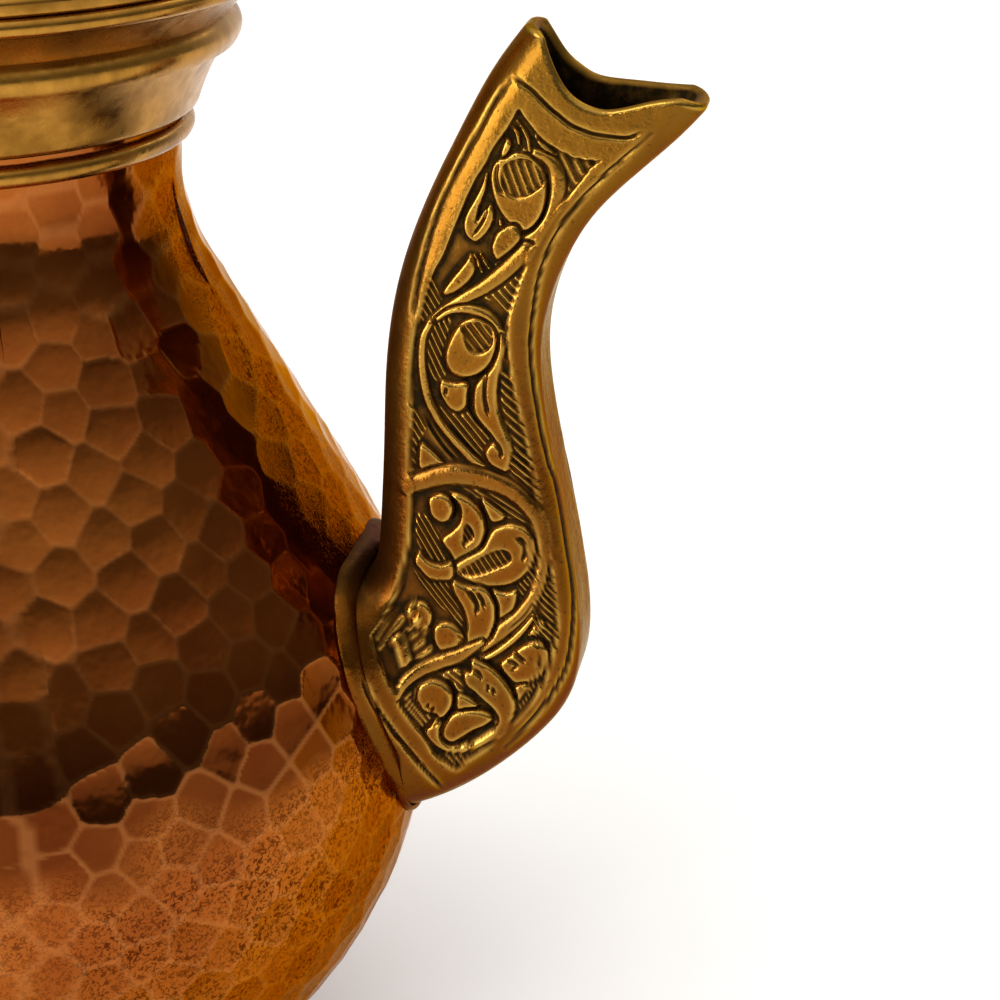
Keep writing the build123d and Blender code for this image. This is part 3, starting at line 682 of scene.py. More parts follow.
carvedFoot = dict(
    corner=(370, 590), zoom=6.817,
    stems=[
        dict(line=[(760, 360), (640, 430), (520, 480), (410, 520), (310, 575), (235, 650),
            (195, 730)], wide=(40, 84, 82, 70, 40)),
        dict(line=[(1120, 175), (1040, 275), (940, 370), (820, 450), (720, 490)], wide=(26, 44, 40, 30)),
    ],
    leaves=[
        dict(edge=[(690, 476), (780, 500), (860, 560), (930, 640), (976, 720), (992, 800), (972, 880),
            (930, 950), (860, 1010), (760, 1072), (640, 1112), (540, 1112), (450, 1072), (390, 1012),
            (368, 962), (405, 925), (470, 868), (500, 950), (490, 1000), (530, 1058), (610, 1062), (700, 1050),
            (780, 1002), (842, 942), (872, 890), (850, 838), (780, 768), (700, 700), (640, 636), (640, 566),
            (680, 560)], crown=34),
        dict(edge=[(590, 832), (660, 820), (760, 830), (822, 858), (832, 890), (780, 930), (700, 962),
            (640, 1000), (560, 1042), (500, 1012), (488, 960), (520, 890), (556, 850)], crown=34),
        dict(edge=[(328, 662), (400, 618), (480, 628), (542, 680), (566, 750), (552, 810), (510, 872),
            (470, 880), (440, 850), (370, 830), (330, 790), (308, 730)], crown=36),
        dict(edge=[(1010, 396), (1080, 362), (1160, 360), (1214, 402), (1220, 480), (1190, 560), (1130, 610),
            (1060, 636), (985, 640), (930, 590), (890, 540), (880, 500), (940, 452)], crown=40),
        dict(edge=[(988, 662), (1082, 650), (1060, 702), (1010, 752), (994, 720)], crown=20),
        dict(edge=[(150, 335), (210, 298), (258, 380), (282, 470), (246, 530), (200, 512), (190, 440),
            (160, 390)], crown=28),
        dict(edge=[(430, 262), (480, 226), (560, 236), (620, 290), (640, 340), (600, 382), (540, 402),
            (470, 412), (430, 350)], crown=36),
        dict(edge=[(590, 722), (650, 730), (700, 760), (730, 800), (650, 806), (590, 810)], crown=20),
    ],
    eyes=[
        dict(edge=[(640, 1022), (720, 968), (800, 922), (852, 905), (850, 942), (780, 1000), (700, 1046),
            (600, 1056)], lean=60, pitch=28),
    ],
    cuts=[
        dict(line=[(690, 476), (800, 500), (880, 560), (950, 640), (994, 730), (1000, 800)], wide=26),
        dict(line=[(420, 600), (520, 545), (640, 535), (720, 550), (760, 600), (742, 634)], wide=20),
        dict(line=[(470, 600), (545, 642), (578, 720), (572, 800), (532, 850), (485, 895),
            (400, 940)], wide=24),
        dict(line=[(585, 828), (700, 808), (800, 818), (866, 880)], wide=14),
        dict(line=[(660, 660), (740, 740), (830, 820), (862, 880)], wide=20),
        dict(line=[(975, 420), (1015, 455), (1062, 492)], wide=22),
        dict(line=[(935, 470), (1000, 512), (958, 546)], wide=14),
        dict(line=[(1040, 338), (1120, 322), (1196, 366), (1232, 440), (1228, 530)], wide=22),
        dict(line=[(1165, 430), (1160, 490), (1130, 540)], wide=10),
        dict(line=[(800, 640), (806, 690)], wide=14),
        dict(line=[(830, 660), (850, 710)], wide=14),
        dict(line=[(590, 300), (630, 340), (585, 370)], wide=12),
        dict(line=[(400, 770), (380, 800), (410, 820), (440, 790)], wide=12),
    ],
    hatches=[
        dict(edge=[(480, 590), (560, 542), (650, 562), (640, 640), (655, 722), (590, 722),
            (545, 640)], lean=40, pitch=42),
        dict(edge=[(225, 740), (275, 700), (320, 780), (360, 840), (430, 870), (380, 930), (340, 960),
            (280, 890)], lean=52, pitch=34),
        dict(edge=[(1190, 560), (1160, 640), (1100, 740), (1040, 820), (990, 880), (990, 800), (1010, 760),
            (1062, 712), (1100, 650)], lean=50, pitch=32),
        dict(edge=[(230, 312), (345, 300), (402, 380), (432, 450), (330, 480), (290, 430)], lean=50, pitch=32),
        dict(edge=[(470, 1110), (640, 1130), (760, 1090), (680, 1160), (600, 1215),
            (540, 1200)], lean=48, pitch=34),
        dict(edge=[(60, 230), (240, 100), (420, 270), (420, 350), (300, 290), (150, 320), (80, 420),
            (30, 330)], lean=52, pitch=34),
    ],
)
carvedPanel = (carvedTop, carvedMiddle, carvedBelly, carvedFoot)

# Depths and rises in millimetres, widths on the panel in pixels of the photograph
carvedFrame = dict(left=340, top=10, right=720, bottom=810, perPixel=2, pathStep=3.0)
carvedDepths = dict(
    ground=0.66, groundRun=3.0, moat=2.0, stemRise=0.74, stemRound=(3.0, 0.7), stemTop=0.1, stemSwell=1.4,
    leafRise=0.78, leafRound=2.4, leafTop=0.15, leafSwell=1.3, leafCrown=0.18, crownRun=12,
    eyeDrop=0.55, eyeRun=1.4, eyeHatch=0.8, eyeHatchRun=2, hatchRise=0.34, hatchRound=0.8, hatchRun=1.5,
    cutDepth=0.42, cutSpread=0.6, cutTaper=(6, 0.25), lineDepth=0.52, lineHalf=2.1, lineTaper=(20, 0.3),
    soften=0.55,
)
# In carvedLook, frame gives a painted shade to the flat band round the carved field
carvedLook = dict(
    hollow=3.6, hollowBlur=4.5, everywhere=0.12, frame=0.12, deep=0.9, deepFrom=0.25, worn=7.0, wornBlur=2.2,
)

# Edge of the sunk ground, and the engraved lines round it, in pixels of the photograph
groundEdge = [
    (518, 109), (512, 119), (506, 129), (498, 140), (491, 151), (484, 165), (476, 177), (467, 195), (460, 212),
    (451, 234), (443, 254), (437, 265), (430, 278), (425, 294), (419, 314), (414, 333), (412, 350), (411, 366),
    (410, 382), (410, 400), (411, 414), (409, 437), (409, 460), (410, 480), (411, 500), (410, 525), (407, 549),
    (402, 568), (397, 590), (388, 609), (379, 624), (372, 635), (373, 645), (379, 660), (385, 675), (392, 690),
    (400, 707), (410, 722), (419, 732), (427, 743), (433, 754), (444, 763), (452, 769), (457, 770), (470, 760),
    (487, 748), (502, 734), (517, 719), (531, 703), (543, 685), (549, 669), (552, 652), (557, 640), (558, 620),
    (556, 605), (554, 585), (552, 563), (549, 549), (545, 531), (541, 512), (537, 493), (534, 475), (530, 457),
    (526, 438), (521, 417), (515, 392), (510, 366), (508, 345), (508, 322), (513, 305), (518, 290), (524, 270),
    (531, 252), (540, 236), (548, 223), (556, 213), (565, 201), (573, 191), (583, 179), (594, 166), (601, 161),
    (584, 159), (572, 156), (560, 150), (549, 144), (539, 136), (531, 126), (524, 117),
]
engravedLines = dict(
    back=[(509, 80), (502, 90), (490, 108), (480, 127), (470, 144), (456, 170), (443, 195), (433, 222),
        (425, 250), (417, 285), (412, 322)],
    underMouth=[(513, 78), (522, 84), (531, 90), (540, 99), (550, 109), (560, 117), (570, 125), (581, 130),
        (592, 134), (610, 137), (628, 138), (640, 133)],
    front=[(651, 133), (635, 148), (619, 163), (609, 171), (598, 183), (585, 196), (574, 209), (564, 221),
        (557, 234), (550, 247), (544, 262), (538, 283), (534, 310), (531, 340), (532, 366), (536, 397),
        (540, 421), (545, 445), (550, 465), (555, 478), (560, 500), (564, 525), (568, 550), (572, 575),
        (574, 600), (573, 630), (568, 663), (558, 685), (543, 707), (524, 729), (505, 748)],
    root=[(363, 680), (370, 696), (379, 712), (389, 725), (398, 738), (411, 754), (426, 772), (441, 787)],
)


def smoothPath(points, closed=False):
    # Curve through the points, closed or with its ends drawn straight on
    pts = np.array(points, float)
    before, after = (pts[-1:], pts[:2]) if closed else (2 * pts[:1] - pts[1:2], 2 * pts[-1:] - pts[-2:-1])
    ring = np.vstack([before, pts, after])
    out = []
    for a, b, c, d in zip(ring[:-3], ring[1:-2], ring[2:-1], ring[3:]):
        count = max(1, int(np.hypot(*(c - b)) / carvedFrame["pathStep"]))
        t = np.linspace(0, 1, count, endpoint=False)[:, None]
        bend = (2 * a - 5 * b + 4 * c - d) * t**2 + (3 * b - a - 3 * c + d) * t**3
        out.append(0.5 * (2 * b + (c - a) * t + bend))
    if not closed:
        out.append(pts[-1:])
    return np.vstack(out)


def gridWindow(path, margin):
    # Cells of the raster round a path, and the pixels of the photograph at their middles
    frame = carvedFrame
    k, corner = frame["perPixel"], (frame["left"], frame["top"])
    most = np.array([frame["right"] - frame["left"], frame["bottom"] - frame["top"]]) * k
    x0, y0 = np.maximum(np.floor((path.min(0) - margin - corner) * k).astype(int), 0)
    x1, y1 = np.minimum(np.ceil((path.max(0) + margin - corner) * k).astype(int), most)
    ys, xs = np.mgrid[y0:y1, x0:x1]
    return (slice(y0, y1), slice(x0, x1)), frame["left"] + (xs + 0.5) / k, frame["top"] + (ys + 0.5) / k


def alongPath(path, xs, ys):
    # Distance to the path and how far along it the nearest point is, 0 to 1
    best = np.full(xs.shape, 1e9)
    where = np.zeros(xs.shape)
    runs = np.hypot(*np.diff(path, axis=0).T)
    total = runs.sum() + 1e-9
    done = 0.0
    for a, b, run in zip(path[:-1], path[1:], runs):
        ux, uy = (b - a) / max(run, 1e-9)
        t = np.clip((xs - a[0]) * ux + (ys - a[1]) * uy, 0, run)
        d = np.hypot(xs - a[0] - t * ux, ys - a[1] - t * uy)
        near = d < best
        best[near] = d[near]
        where[near] = (done + t[near]) / total
        done += run
    return best, where


def insidePath(path, xs, ys):
    inside = np.zeros(xs.shape, bool)
    for a, b in zip(path, np.roll(path, -1, axis=0)):
        if a[1] == b[1]:
            continue
        crossing = (ys > min(a[1], b[1])) & (ys <= max(a[1], b[1]))
        at = a[0] + (ys - a[1]) * (b[0] - a[0]) / (b[1] - a[1])
        inside ^= crossing & (xs < at)
    return inside


def outlined(points, margin):
    # Cells round a closed outline, which of them lie inside it, and their distance to it
    path = smoothPath(points, True)
    cells, xs, ys = gridWindow(path, margin)
    off, _ = alongPath(np.vstack([path, path[:1]]), xs, ys)
    return cells, xs, ys, insidePath(path, xs, ys), off


def lined(points, margin):
    # Cells round a line, their distance to it and how far along it they are
    path = smoothPath(points)
    cells, xs, ys = gridWindow(path, margin)
    return cells, *alongPath(path, xs, ys)


def blurred(values, sigma):
    reach = int(3 * sigma + 1)
    weights = np.exp(-0.5 * (np.arange(-reach, reach + 1) / sigma) ** 2)
    weights /= weights.sum()
    out = np.pad(values, reach, mode="edge")
    out = sum(w * out[i:i + values.shape[0], :] for i, w in enumerate(weights))
    return sum(w * out[:, i:i + values.shape[1]] for i, w in enumerate(weights))


def hatching(xs, ys, zone, zoom):
    # Rise of parallel hatching, from its cuts to its ridges
    slant, pitch, deep = radians(zone["lean"]), zone["pitch"] / zoom, carvedDepths
    across = xs * sin(slant) - ys * cos(slant)
    return deep["hatchRise"] * (0.5 + 0.5 * np.cos(2 * pi * across / pitch)) ** deep["hatchRound"]


def besideForm(relief, floor, moat):
    # The relief let down to the floor beside a raised form
    return np.where(moat < 1, np.minimum(relief, floor + (relief - floor) * moat), relief)


def tapered(along, ends):
    # Share of a cut's full width, less towards its ends
    steep, least = ends
    return np.clip(np.minimum(along, 1 - along) * steep, least, 1)


def carvePart(part, relief, floor, field):
    deep, zoom = carvedDepths, part["zoom"]
    onPhoto = lambda points: np.array(part["corner"]) + np.array(points, float) / zoom
    for zone in part["hatches"]:
        cells, xs, ys, inside, off = outlined(onPhoto(zone["edge"]), margin=2)
        rise = hatching(xs, ys, zone, zoom) * np.clip(off / deep["hatchRun"], 0, 1)
        relief[cells] = np.where(inside & field[cells], relief[cells] + rise, relief[cells])
    for stem in part["stems"]:
        widths = np.array(stem["wide"]) / zoom / 2 * deep["stemSwell"]
        cells, off, along = lined(onPhoto(stem["line"]), margin=widths.max() + 4)
        half = np.interp(along, np.linspace(0, 1, len(widths)), widths)
        moat = np.clip((off - half) / deep["moat"], 0, 1)
        relief[cells] = besideForm(relief[cells], floor[cells], moat)
        flat, end = deep["stemRound"]
        top = floor[cells] + deep["stemRise"] * (1 - np.clip(off / half, 0, 1) ** flat) ** end
        top = np.maximum(relief[cells], np.minimum(top, deep["stemTop"]))
        relief[cells] = np.where(off < half, top, relief[cells])
    for leaf in part["leaves"]:
        cells, _, _, inside, off = outlined(onPhoto(leaf["edge"]), margin=7)
        off = np.where(inside, off, -off) + deep["leafSwell"]
        beside = besideForm(relief[cells], floor[cells], np.clip(-off / deep["moat"], 0, 1))
        shoulder = np.clip(off / (leaf["crown"] / zoom), 0, 1)
        top = floor[cells] + deep["leafRise"] * (1 - (1 - shoulder) ** deep["leafRound"])
        top = top + deep["leafCrown"] * np.clip(off / deep["crownRun"], 0, 1)
        relief[cells] = np.where(off > 0, np.minimum(top, deep["leafTop"]), beside)
    for eye in part["eyes"]:
        cells, xs, ys, inside, off = outlined(onPhoto(eye["edge"]), margin=2)
        rise = deep["eyeHatch"] * hatching(xs, ys, eye, zoom) * np.clip(off / deep["eyeHatchRun"], 0, 1)
        drop = deep["eyeDrop"] * np.clip(off / deep["eyeRun"], 0, 1)
        relief[cells] = np.where(inside, relief[cells] - drop + rise, relief[cells])
    for cut in part["cuts"]:
        half = cut["wide"] / zoom / 2 + deep["cutSpread"]
        cells, off, along = lined(onPhoto(cut["line"]), margin=half + 1)
        taper = tapered(along, deep["cutTaper"])
        relief[cells] -= deep["cutDepth"] * taper * (1 - np.clip(off / (half * taper), 0, 1) ** 2)


def carveRelief():
    # Rasters of the carving's height in millimetres, of its dirt with a painted shade on the frame band, and of
    # its wear with a painted highlight
    frame, deep, look = carvedFrame, carvedDepths, carvedLook
    k = frame["perPixel"]
    relief = np.zeros(((frame["bottom"] - frame["top"]) * k, (frame["right"] - frame["left"]) * k))
    cells, _, _, inside, off = outlined(groundEdge, margin=6)
    field = np.zeros_like(relief, bool)
    field[cells] = inside
    wall = np.clip(off / deep["groundRun"], 0, 1)
    relief[cells] = np.where(inside, -deep["ground"] * (1 - (1 - wall) ** 2), 0)
    floor = relief.copy()
    for part in carvedPanel:
        carvePart(part, relief, floor, field)
    for line in engravedLines.values():
        cells, off, along = lined(line, margin=4)
        section = np.clip(1 - (off / deep["lineHalf"]) ** 2, 0, 1)
        relief[cells] -= deep["lineDepth"] * tapered(along, deep["lineTaper"]) * section
    relief = blurred(relief, deep["soften"] * k)
    soot = look["hollow"] * (blurred(relief, look["hollowBlur"] * k) - relief) + look["everywhere"]
    # Painted shade on the flat band outside the carved field
    soot = soot + look["frame"] * ~field + look["deep"] * np.clip(-relief - look["deepFrom"], 0, 1)
    # Crests lighter, as wear and as a painted highlight
    worn = look["worn"] * (relief - blurred(relief, look["wornBlur"] * k))
    return relief, np.clip(soot, 0, 1), np.clip(worn, 0, 1)


# Cast spout: lines across it from mouth to root, each the reach and rise of its back and
# front from the belly's side and centre, and its thickness there
spoutForm = dict(
    lines=[
        ((17.0, 112.5), (42.5, 102.0), 13.0), ((12.0, 105.5), (37.5, 96.5), 13.5),
        ((7.5, 97.0), (29.5, 89.0), 14.5), ((3.0, 87.5), (24.5, 82.5), 15.5),
        ((-1.0, 76.0), (21.0, 74.5), 17.0), ((-3.0, 63.5), (19.5, 64.5), 18.0),
        ((-3.5, 51.5), (21.0, 52.0), 19.0), ((-4.0, 40.0), (23.5, 39.5), 20.5),
        ((-5.0, 32.0), (25.5, 26.5), 22.0), ((-8.0, 28.0), (25.2, 14.8), 23.5),
        ((-11.0, 26.0), (20.0, 6.0), 25.0), ((-13.5, 24.5), (11.1, -2.2), 26.0),
        ((-15.5, 23.5), (1.6, -7.9), 26.5), ((-20.0, 22.0), (-8.0, -11.0), 27.0),
    ],
    wall=2.0, corner=5.0, rootCorner=12.0,
    nearMouth=[
        (17.9, 114.8), (19.1, 113.0), (20.4, 109.2), (22.1, 105.4), (24.2, 103.0), (26.7, 101.8), (29.5, 101.6),
        (33.6, 102.6), (37.7, 103.4), (44.0, 103.8), (50.0, 104.0),
    ],
    farMouth=[
        (17.9, 113.4), (19.0, 110.6), (21.2, 107.0), (23.6, 104.9), (26.4, 103.6), (31.8, 103.2), (38.8, 103.0),
        (44.0, 103.8), (50.0, 104.0),
    ],
    rows=540, stripColumns=9, cornerColumns=20, panelColumns=100, boreRows=26, rimRows=7, buried=0.8,
    # Painted shade on the casting's back, fading towards the mouth, and on its faces turned from the camera
    mouthLines=3.0, facing=(0.08, 0.3), backShade=0.66, backFrom=1.6, backShadeFade=(165, 30, 0.35), frontShade=0.14,
    boreSoot=0.6, rimWorn=(0.9, 0.2),
)

# Flange at its root: outline by half width and rise, the fillet up to the tube and the beaded edge
flangeForm = dict(
    edge=[(0.0, 33.0), (13.0, 31.0), (20.0, 21.0), (18.0, 8.0), (9.5, -6.0), (0.0, -11.5)],
    middle=11.0, band=2.5, bandShare=0.85, bandBase=0.75, bandRise=0.85, bandRound=0.8,
    groove=0.35, grooveTurn=1.45, grooveHalf=0.22, lift=1.25, lowLift=4.0, highLift=9.0,
    filletRows=22, bandRows=13,
)


class Tube:
    # Rounded-rectangle casting through its lines. Columns run round one half of it, from the seam
    # at its back to the seam at its front, and a count says between which lines a row lies.
    def __init__(self, form, side):
        self.side, self.form = side, form
        across = np.array([[*back, *front, thick] for back, front, thick in form["lines"]])
        self.parts = [naturalSpline(across[:, k]) for k in range(5)]
        turn = np.linspace(0, pi / 2, form["cornerColumns"])
        strip = np.linspace(0, 1, form["stripColumns"])[:-1]
        panel = np.linspace(0, 1, form["panelColumns"])[1:-1]
        self.columns = np.vstack([
            np.stack(np.broadcast_arrays(*(np.asarray(v, float) for v in values)), 1) for values in (
                (0.0, 0, strip, 0, -1, 0),
                (0.0, 1 - np.cos(turn), 1, np.sin(turn), -np.cos(turn), -np.sin(turn)),
                (panel, 1 - 2 * panel, 1, 1, 0, -1),
                (1.0, np.sin(turn) - 1, 1, np.cos(turn), np.sin(turn), -np.cos(turn)),
                (1.0, 0, 1 - strip - strip[1], 0, 1, 0),
            )
        ])

    def cornerAt(self, count):
        widening = self.form.get("rootCorner", self.form["corner"]) - self.form["corner"]
        return self.form["corner"] + widening * (count / (len(self.form["lines"]) - 1)) ** 4

    def section(self, count):
        backReach, backRise, frontReach, frontRise, thick = (part(count) for part in self.parts)
        reach, rise = frontReach - backReach, frontRise - backRise
        return backReach, backRise, reach, rise, np.hypot(reach, rise), thick

    def points(self, count, inset=0.0):
        backReach, backRise, reach, rise, length, thick = self.section(count)
        alongShare, alongCorner, depthShare, depthCorner = self.columns[:, :4].T
        corner = self.cornerAt(count) - inset
        run = inset + alongShare * (length - 2 * inset) + alongCorner * corner
        deep = -(depthShare * (thick / 2 - inset - corner) + depthCorner * corner)
        x = self.side * (potForm["bellyRadius"] + backReach + run * reach / length)
        return np.stack([x, deep, bellyHeight + backRise + run * rise / length], axis=-1)

    def outward(self, count):
        _, _, reach, rise, length, _ = self.section(count)
        alongNormal, depthNormal = self.columns[:, 4:].T
        x = self.side * alongNormal * reach / length
        return np.stack([x, depthNormal + 0 * x, alongNormal * rise / length], axis=-1)

    def spread(self, starts, ends, rows, inset=0.0):
        # Counts that space each column's rows evenly along it
        fine = np.linspace(0, 1, 500)[:, None]
        counts = starts + (ends - starts) * fine
        places = self.points(counts, inset)
        steps = np.linalg.norm(np.diff(places, axis=0), axis=2)
        runs = np.vstack([np.zeros(len(starts)), np.cumsum(steps, axis=0)]).T
        shares = np.linspace(0, 1, rows)
        return np.column_stack([np.interp(shares * run[-1], run, count) for run, count in zip(runs, counts.T)])

    def firstBelow(self, height, inset, last, start=0.0):
        # Count at which each column first has height(points) below nothing
        counts = np.linspace(start, last, 1600)
        values = height(self.points(counts[:, None] + np.zeros(len(self.columns)), inset))
        under = values <= 0
        first = under.argmax(axis=0)
        column = np.arange(len(self.columns))
        before = np.maximum(first - 1, 0)
        high, low = values[before, column], values[first, column]
        share = np.where(first > 0, high / np.maximum(high - low, 1e-9), 0)
        return counts[before] + (counts[first] - counts[before]) * np.clip(share, 0, 1)


def aboveMouth(edge):
    # Height over a mouth's dipping edge, as a function of points
    parts = [naturalSpline([place[k] for place in edge]) for k in range(2)]
    along = np.linspace(0, len(edge) - 1, 1200)
    reach, rise = parts[0](along), parts[1](along)

    def height(points):
        out = points[..., 0] - potForm["bellyRadius"]
        over = points[..., 2] - bellyHeight - np.interp(out, reach, rise)
        return np.where(out < edge[0][0], -1.0, over)
    return height


def sampleSheet(sheet, px, py):
    # Value of a raster of the carving at pixels of the photograph
    k = carvedFrame["perPixel"]
    x = np.clip((px - carvedFrame["left"]) * k - 0.5, 0, sheet.shape[1] - 1.001)
    y = np.clip((py - carvedFrame["top"]) * k - 0.5, 0, sheet.shape[0] - 1.001)
    i, j = x.astype(int), y.astype(int)
    u, v = x - i, y - j
    top = sheet[j, i] * (1 - u) + sheet[j, i + 1] * u
    return top * (1 - v) + (sheet[j + 1, i] * (1 - u) + sheet[j + 1, i + 1] * u) * v


def gridNormals(grid):
    down = np.gradient(grid, axis=0)
    across = np.gradient(grid, axis=1)
    normal = np.cross(across, down)
    return normal / np.maximum(np.linalg.norm(normal, axis=-1, keepdims=True), 1e-9)


def flangeReach(angles):
    # Distance from the flange's middle to its edge, by the angle up from level
    edge = flangeForm["edge"]
    ring = edge + [(-wide, rise) for wide, rise in edge[-2:0:-1]]
    again = np.array([ring[k % len(ring)] for k in range(-3, len(ring) + 4)])
    along = 3 + np.linspace(0, len(ring), 2000)
    wide, rise = naturalSpline(again[:, 0])(along), naturalSpline(again[:, 1])(along) - flangeForm["middle"]
    right = wide >= -0.01
    turn, reach = np.arctan2(rise, wide)[right], np.hypot(wide, rise)[right]
    order = turn.argsort()
    return np.interp(angles, turn[order], reach[order])


def overBody(across, rise, height):
    # Points at a height above the body's side, from their distance across and their rise
    ball = np.sqrt(np.maximum((potForm["bellyRadius"] + height) ** 2 - rise**2, 0))
    cone = (potForm["bellyRadius"] + height - rise * sin(lean)) / cos(lean)
    out = np.where(rise > ball * tan(lean), cone, ball)
    return np.stack([np.sqrt(out**2 - across**2), across, bellyHeight + rise], axis=-1)


def flangeRows(tube, last):
    # Rows of the fillet and the beaded edge, and the counts where the tube gives way to them
    high = lambda points: aboveBody(points.reshape(-1, 3)).reshape(points.shape[:-1])
    belowMouth = spoutForm["mouthLines"]
    start = tube.firstBelow(lambda points: high(points) - flangeForm["highLift"], 0.0, last, belowMouth)
    foot = tube.firstBelow(high, 0.0, last, belowMouth)
    counts = start + (foot - start) * np.linspace(0, 1, 240)[:, None]
    levels = high(tube.points(counts))
    flat = lambda points: np.stack([points[..., 1], points[..., 2] - bellyHeight], axis=-1)

    def at(heights):
        # Counts and flat places on the tube at one height for each column
        found = np.array([np.interp(-h, -levels[:, k], counts[:, k]) for k, h in enumerate(heights)])
        return found, flat(tube.points(found))

    _, root = at(np.full(len(foot), flangeForm["bandBase"]))
    centre = np.array([0.0, flangeForm["middle"]])
    off = root - centre
    angle = np.arctan2(off[:, 1], -off[:, 0])
    edge = centre + flangeReach(angle)[:, None] * np.column_stack([-np.cos(angle), np.sin(angle)])
    inward = root - edge
    away = np.linalg.norm(inward, axis=1, keepdims=True)
    inner = edge + inward / away * np.minimum(flangeForm["band"], flangeForm["bandShare"] * away)
    lift = np.clip(flangeForm["lift"] * away[:, 0], flangeForm["lowLift"], flangeForm["highLift"])
    begin, _ = at(lift)
    rows = []
    for turn in np.linspace(0, pi / 2, flangeForm["filletRows"])[1:]:
        height = lift - (lift - flangeForm["bandBase"]) * sin(turn)
        past = (turn - flangeForm["grooveTurn"]) / flangeForm["grooveHalf"]
        dip = flangeForm["groove"] * max(0.0, 1 - past**2)
        _, place = at(height)
        place = place + (1 - cos(turn)) * (inner - root)
        rows.append(overBody(place[:, 0], place[:, 1], height - dip))
    for turn in np.linspace(0, pi, flangeForm["bandRows"])[1:]:
        place = inner + (edge - inner) * (1 - cos(turn)) / 2
        bead = flangeForm["bandRise"] * sin(turn) ** flangeForm["bandRound"]
        height = flangeForm["bandBase"] * (1 - (turn / pi) ** 2) + bead
        rows.append(overBody(place[:, 0], place[:, 1], np.full(len(place), height)))
    rows.append(overBody(edge[:, 0], edge[:, 1], np.full(len(edge), -spoutForm["buried"])))
    return begin, np.array(rows)


def castHalf(tube, mouth, root, flange, carving):
    # Carved skin of one half with its bore, as rows of points, and the dirt with painted shade and the wear
    # with a painted highlight on the skin
    relief, *marks = carving
    form, last = spoutForm, len(spoutForm["lines"]) - 1
    high = lambda points: aboveBody(points.reshape(-1, 3)).reshape(points.shape[:-1]) + form["buried"]
    skin = tube.points(tube.spread(tube.firstBelow(aboveMouth(mouth), 0.0, last), root, form["rows"]))
    skin = np.concatenate([skin, flange])
    normal = gridNormals(skin)
    normal *= -np.sign(normal[len(normal) // 2, normal.shape[1] // 2, 1])
    px, py = (values.reshape(skin.shape[:2]) for values in toPhoto(skin.reshape(-1, 3)))
    # Carved where the photograph sees it, up to the flange's edge
    least, reach = form["facing"]
    facing = np.clip((normal @ viewAxes()[0] - least) / reach, 0, 1)
    facing[-3:] = 0
    skin = skin + normal * (sampleSheet(relief, px, py) * facing)[..., None]
    skin[:, 0, 1] = skin[:, -1, 1] = 0
    top = tube.firstBelow(aboveMouth(mouth), form["wall"], last)
    low = tube.firstBelow(high, form["wall"], last, form["mouthLines"])
    bore = tube.points(tube.spread(top, low, form["boreRows"], form["wall"]), form["wall"])
    # The rim is rounded between the two
    half = form["wall"] / 2
    up = skin[0] - skin[6]
    up /= np.linalg.norm(up, axis=1, keepdims=True)
    lowered = int(half / np.linalg.norm(skin[1] - skin[0], axis=1).mean() + 0.5)
    marks = [(sampleSheet(mark, px, py) * facing)[lowered:] for mark in marks]
    # Painted shade, darkest on its back and less towards the mouth, and a little on the faces turned from the
    # camera
    skin = skin[lowered:]
    back = form["backShade"] * np.clip(-form["backFrom"] * tube.columns[:, 4], 0, 1)
    shadeFadeHeight, run, least = form["backShadeFade"]
    marks[0] = np.maximum(marks[0], back * np.clip((shadeFadeHeight - skin[..., 2]) / run, least, 1))
    marks[0] = np.maximum(marks[0], form["frontShade"] * (1 - facing[lowered:]))
    bore[0] -= up * half
    turns = np.linspace(0, pi, form["rimRows"] + 2)[1:-1]
    middle, reach = (skin[0] + bore[0]) / 2, (skin[0] - bore[0]) / 2
    rim = np.stack([middle + reach * cos(a) + up * half * sin(a) for a in turns])
    return skin, rim, bore, marks


def makeSpout():
    tube = Tube(spoutForm, 1)
    carving = carveRelief()
    print("carving laid out")
    root, flange = flangeRows(tube, len(spoutForm["lines"]) - 1)
    for name, mouth, side in (("spoutNearCasting", "nearMouth", 1), ("spoutFarCasting", "farMouth", -1)):
        # Its dirt also holds the painted shade, and its wear a painted highlight on the crests
        skin, rim, bore, (dirt, worn) = castHalf(tube, spoutForm[mouth], root, flange, carving)
        rows, columns = skin.shape[:2]
        points = np.vstack([skin.reshape(-1, 3), rim.reshape(-1, 3), bore.reshape(-1, 3)])
        rimStart, boreStart = rows * columns, (rows + len(rim)) * columns
        faces = gridFaces(rows, columns)
        chain = [np.arange(columns)] + [rimStart + k * columns + np.arange(columns) for k in range(len(rim))]
        chain.append(boreStart + np.arange(columns))
        for a, b in zip(chain[:-1], chain[1:]):
            faces += bandFaces(b, a)
        faces += gridFaces(len(bore), columns, boreStart, flip=True)
        outerEnd = (rows - 1) * columns + np.arange(columns)
        boreEnd = boreStart + (len(bore) - 1) * columns + np.arange(columns)
        faces += bandFaces(outerEnd, boreEnd)
        for column, flip in ((0, True), (columns - 1, False)):
            outer = np.arange(rows) * columns + column
            inner = boreStart + np.arange(len(bore)) * columns + column
            faces += stitch(outer, inner, flip)
            cap = [int(c[column]) for c in chain]
            faces.append(cap if flip else cap[::-1])
        dark = np.repeat(np.linspace(0.0, spoutForm["boreSoot"], len(rim)), columns)
        bright = np.repeat(np.linspace(*spoutForm["rimWorn"], len(rim)), columns)
        inside = np.ones(len(bore) * columns)
        traits = {
            "soot": np.concatenate([dirt.ravel(), dark, inside]),
            "worn": np.concatenate([worn.ravel(), bright, 0 * inside]),
        }
        closedPiece(name, points * (1, side, 1), faces, "pot", "cast_brass", castBrass, ("spout",), 75, traits)


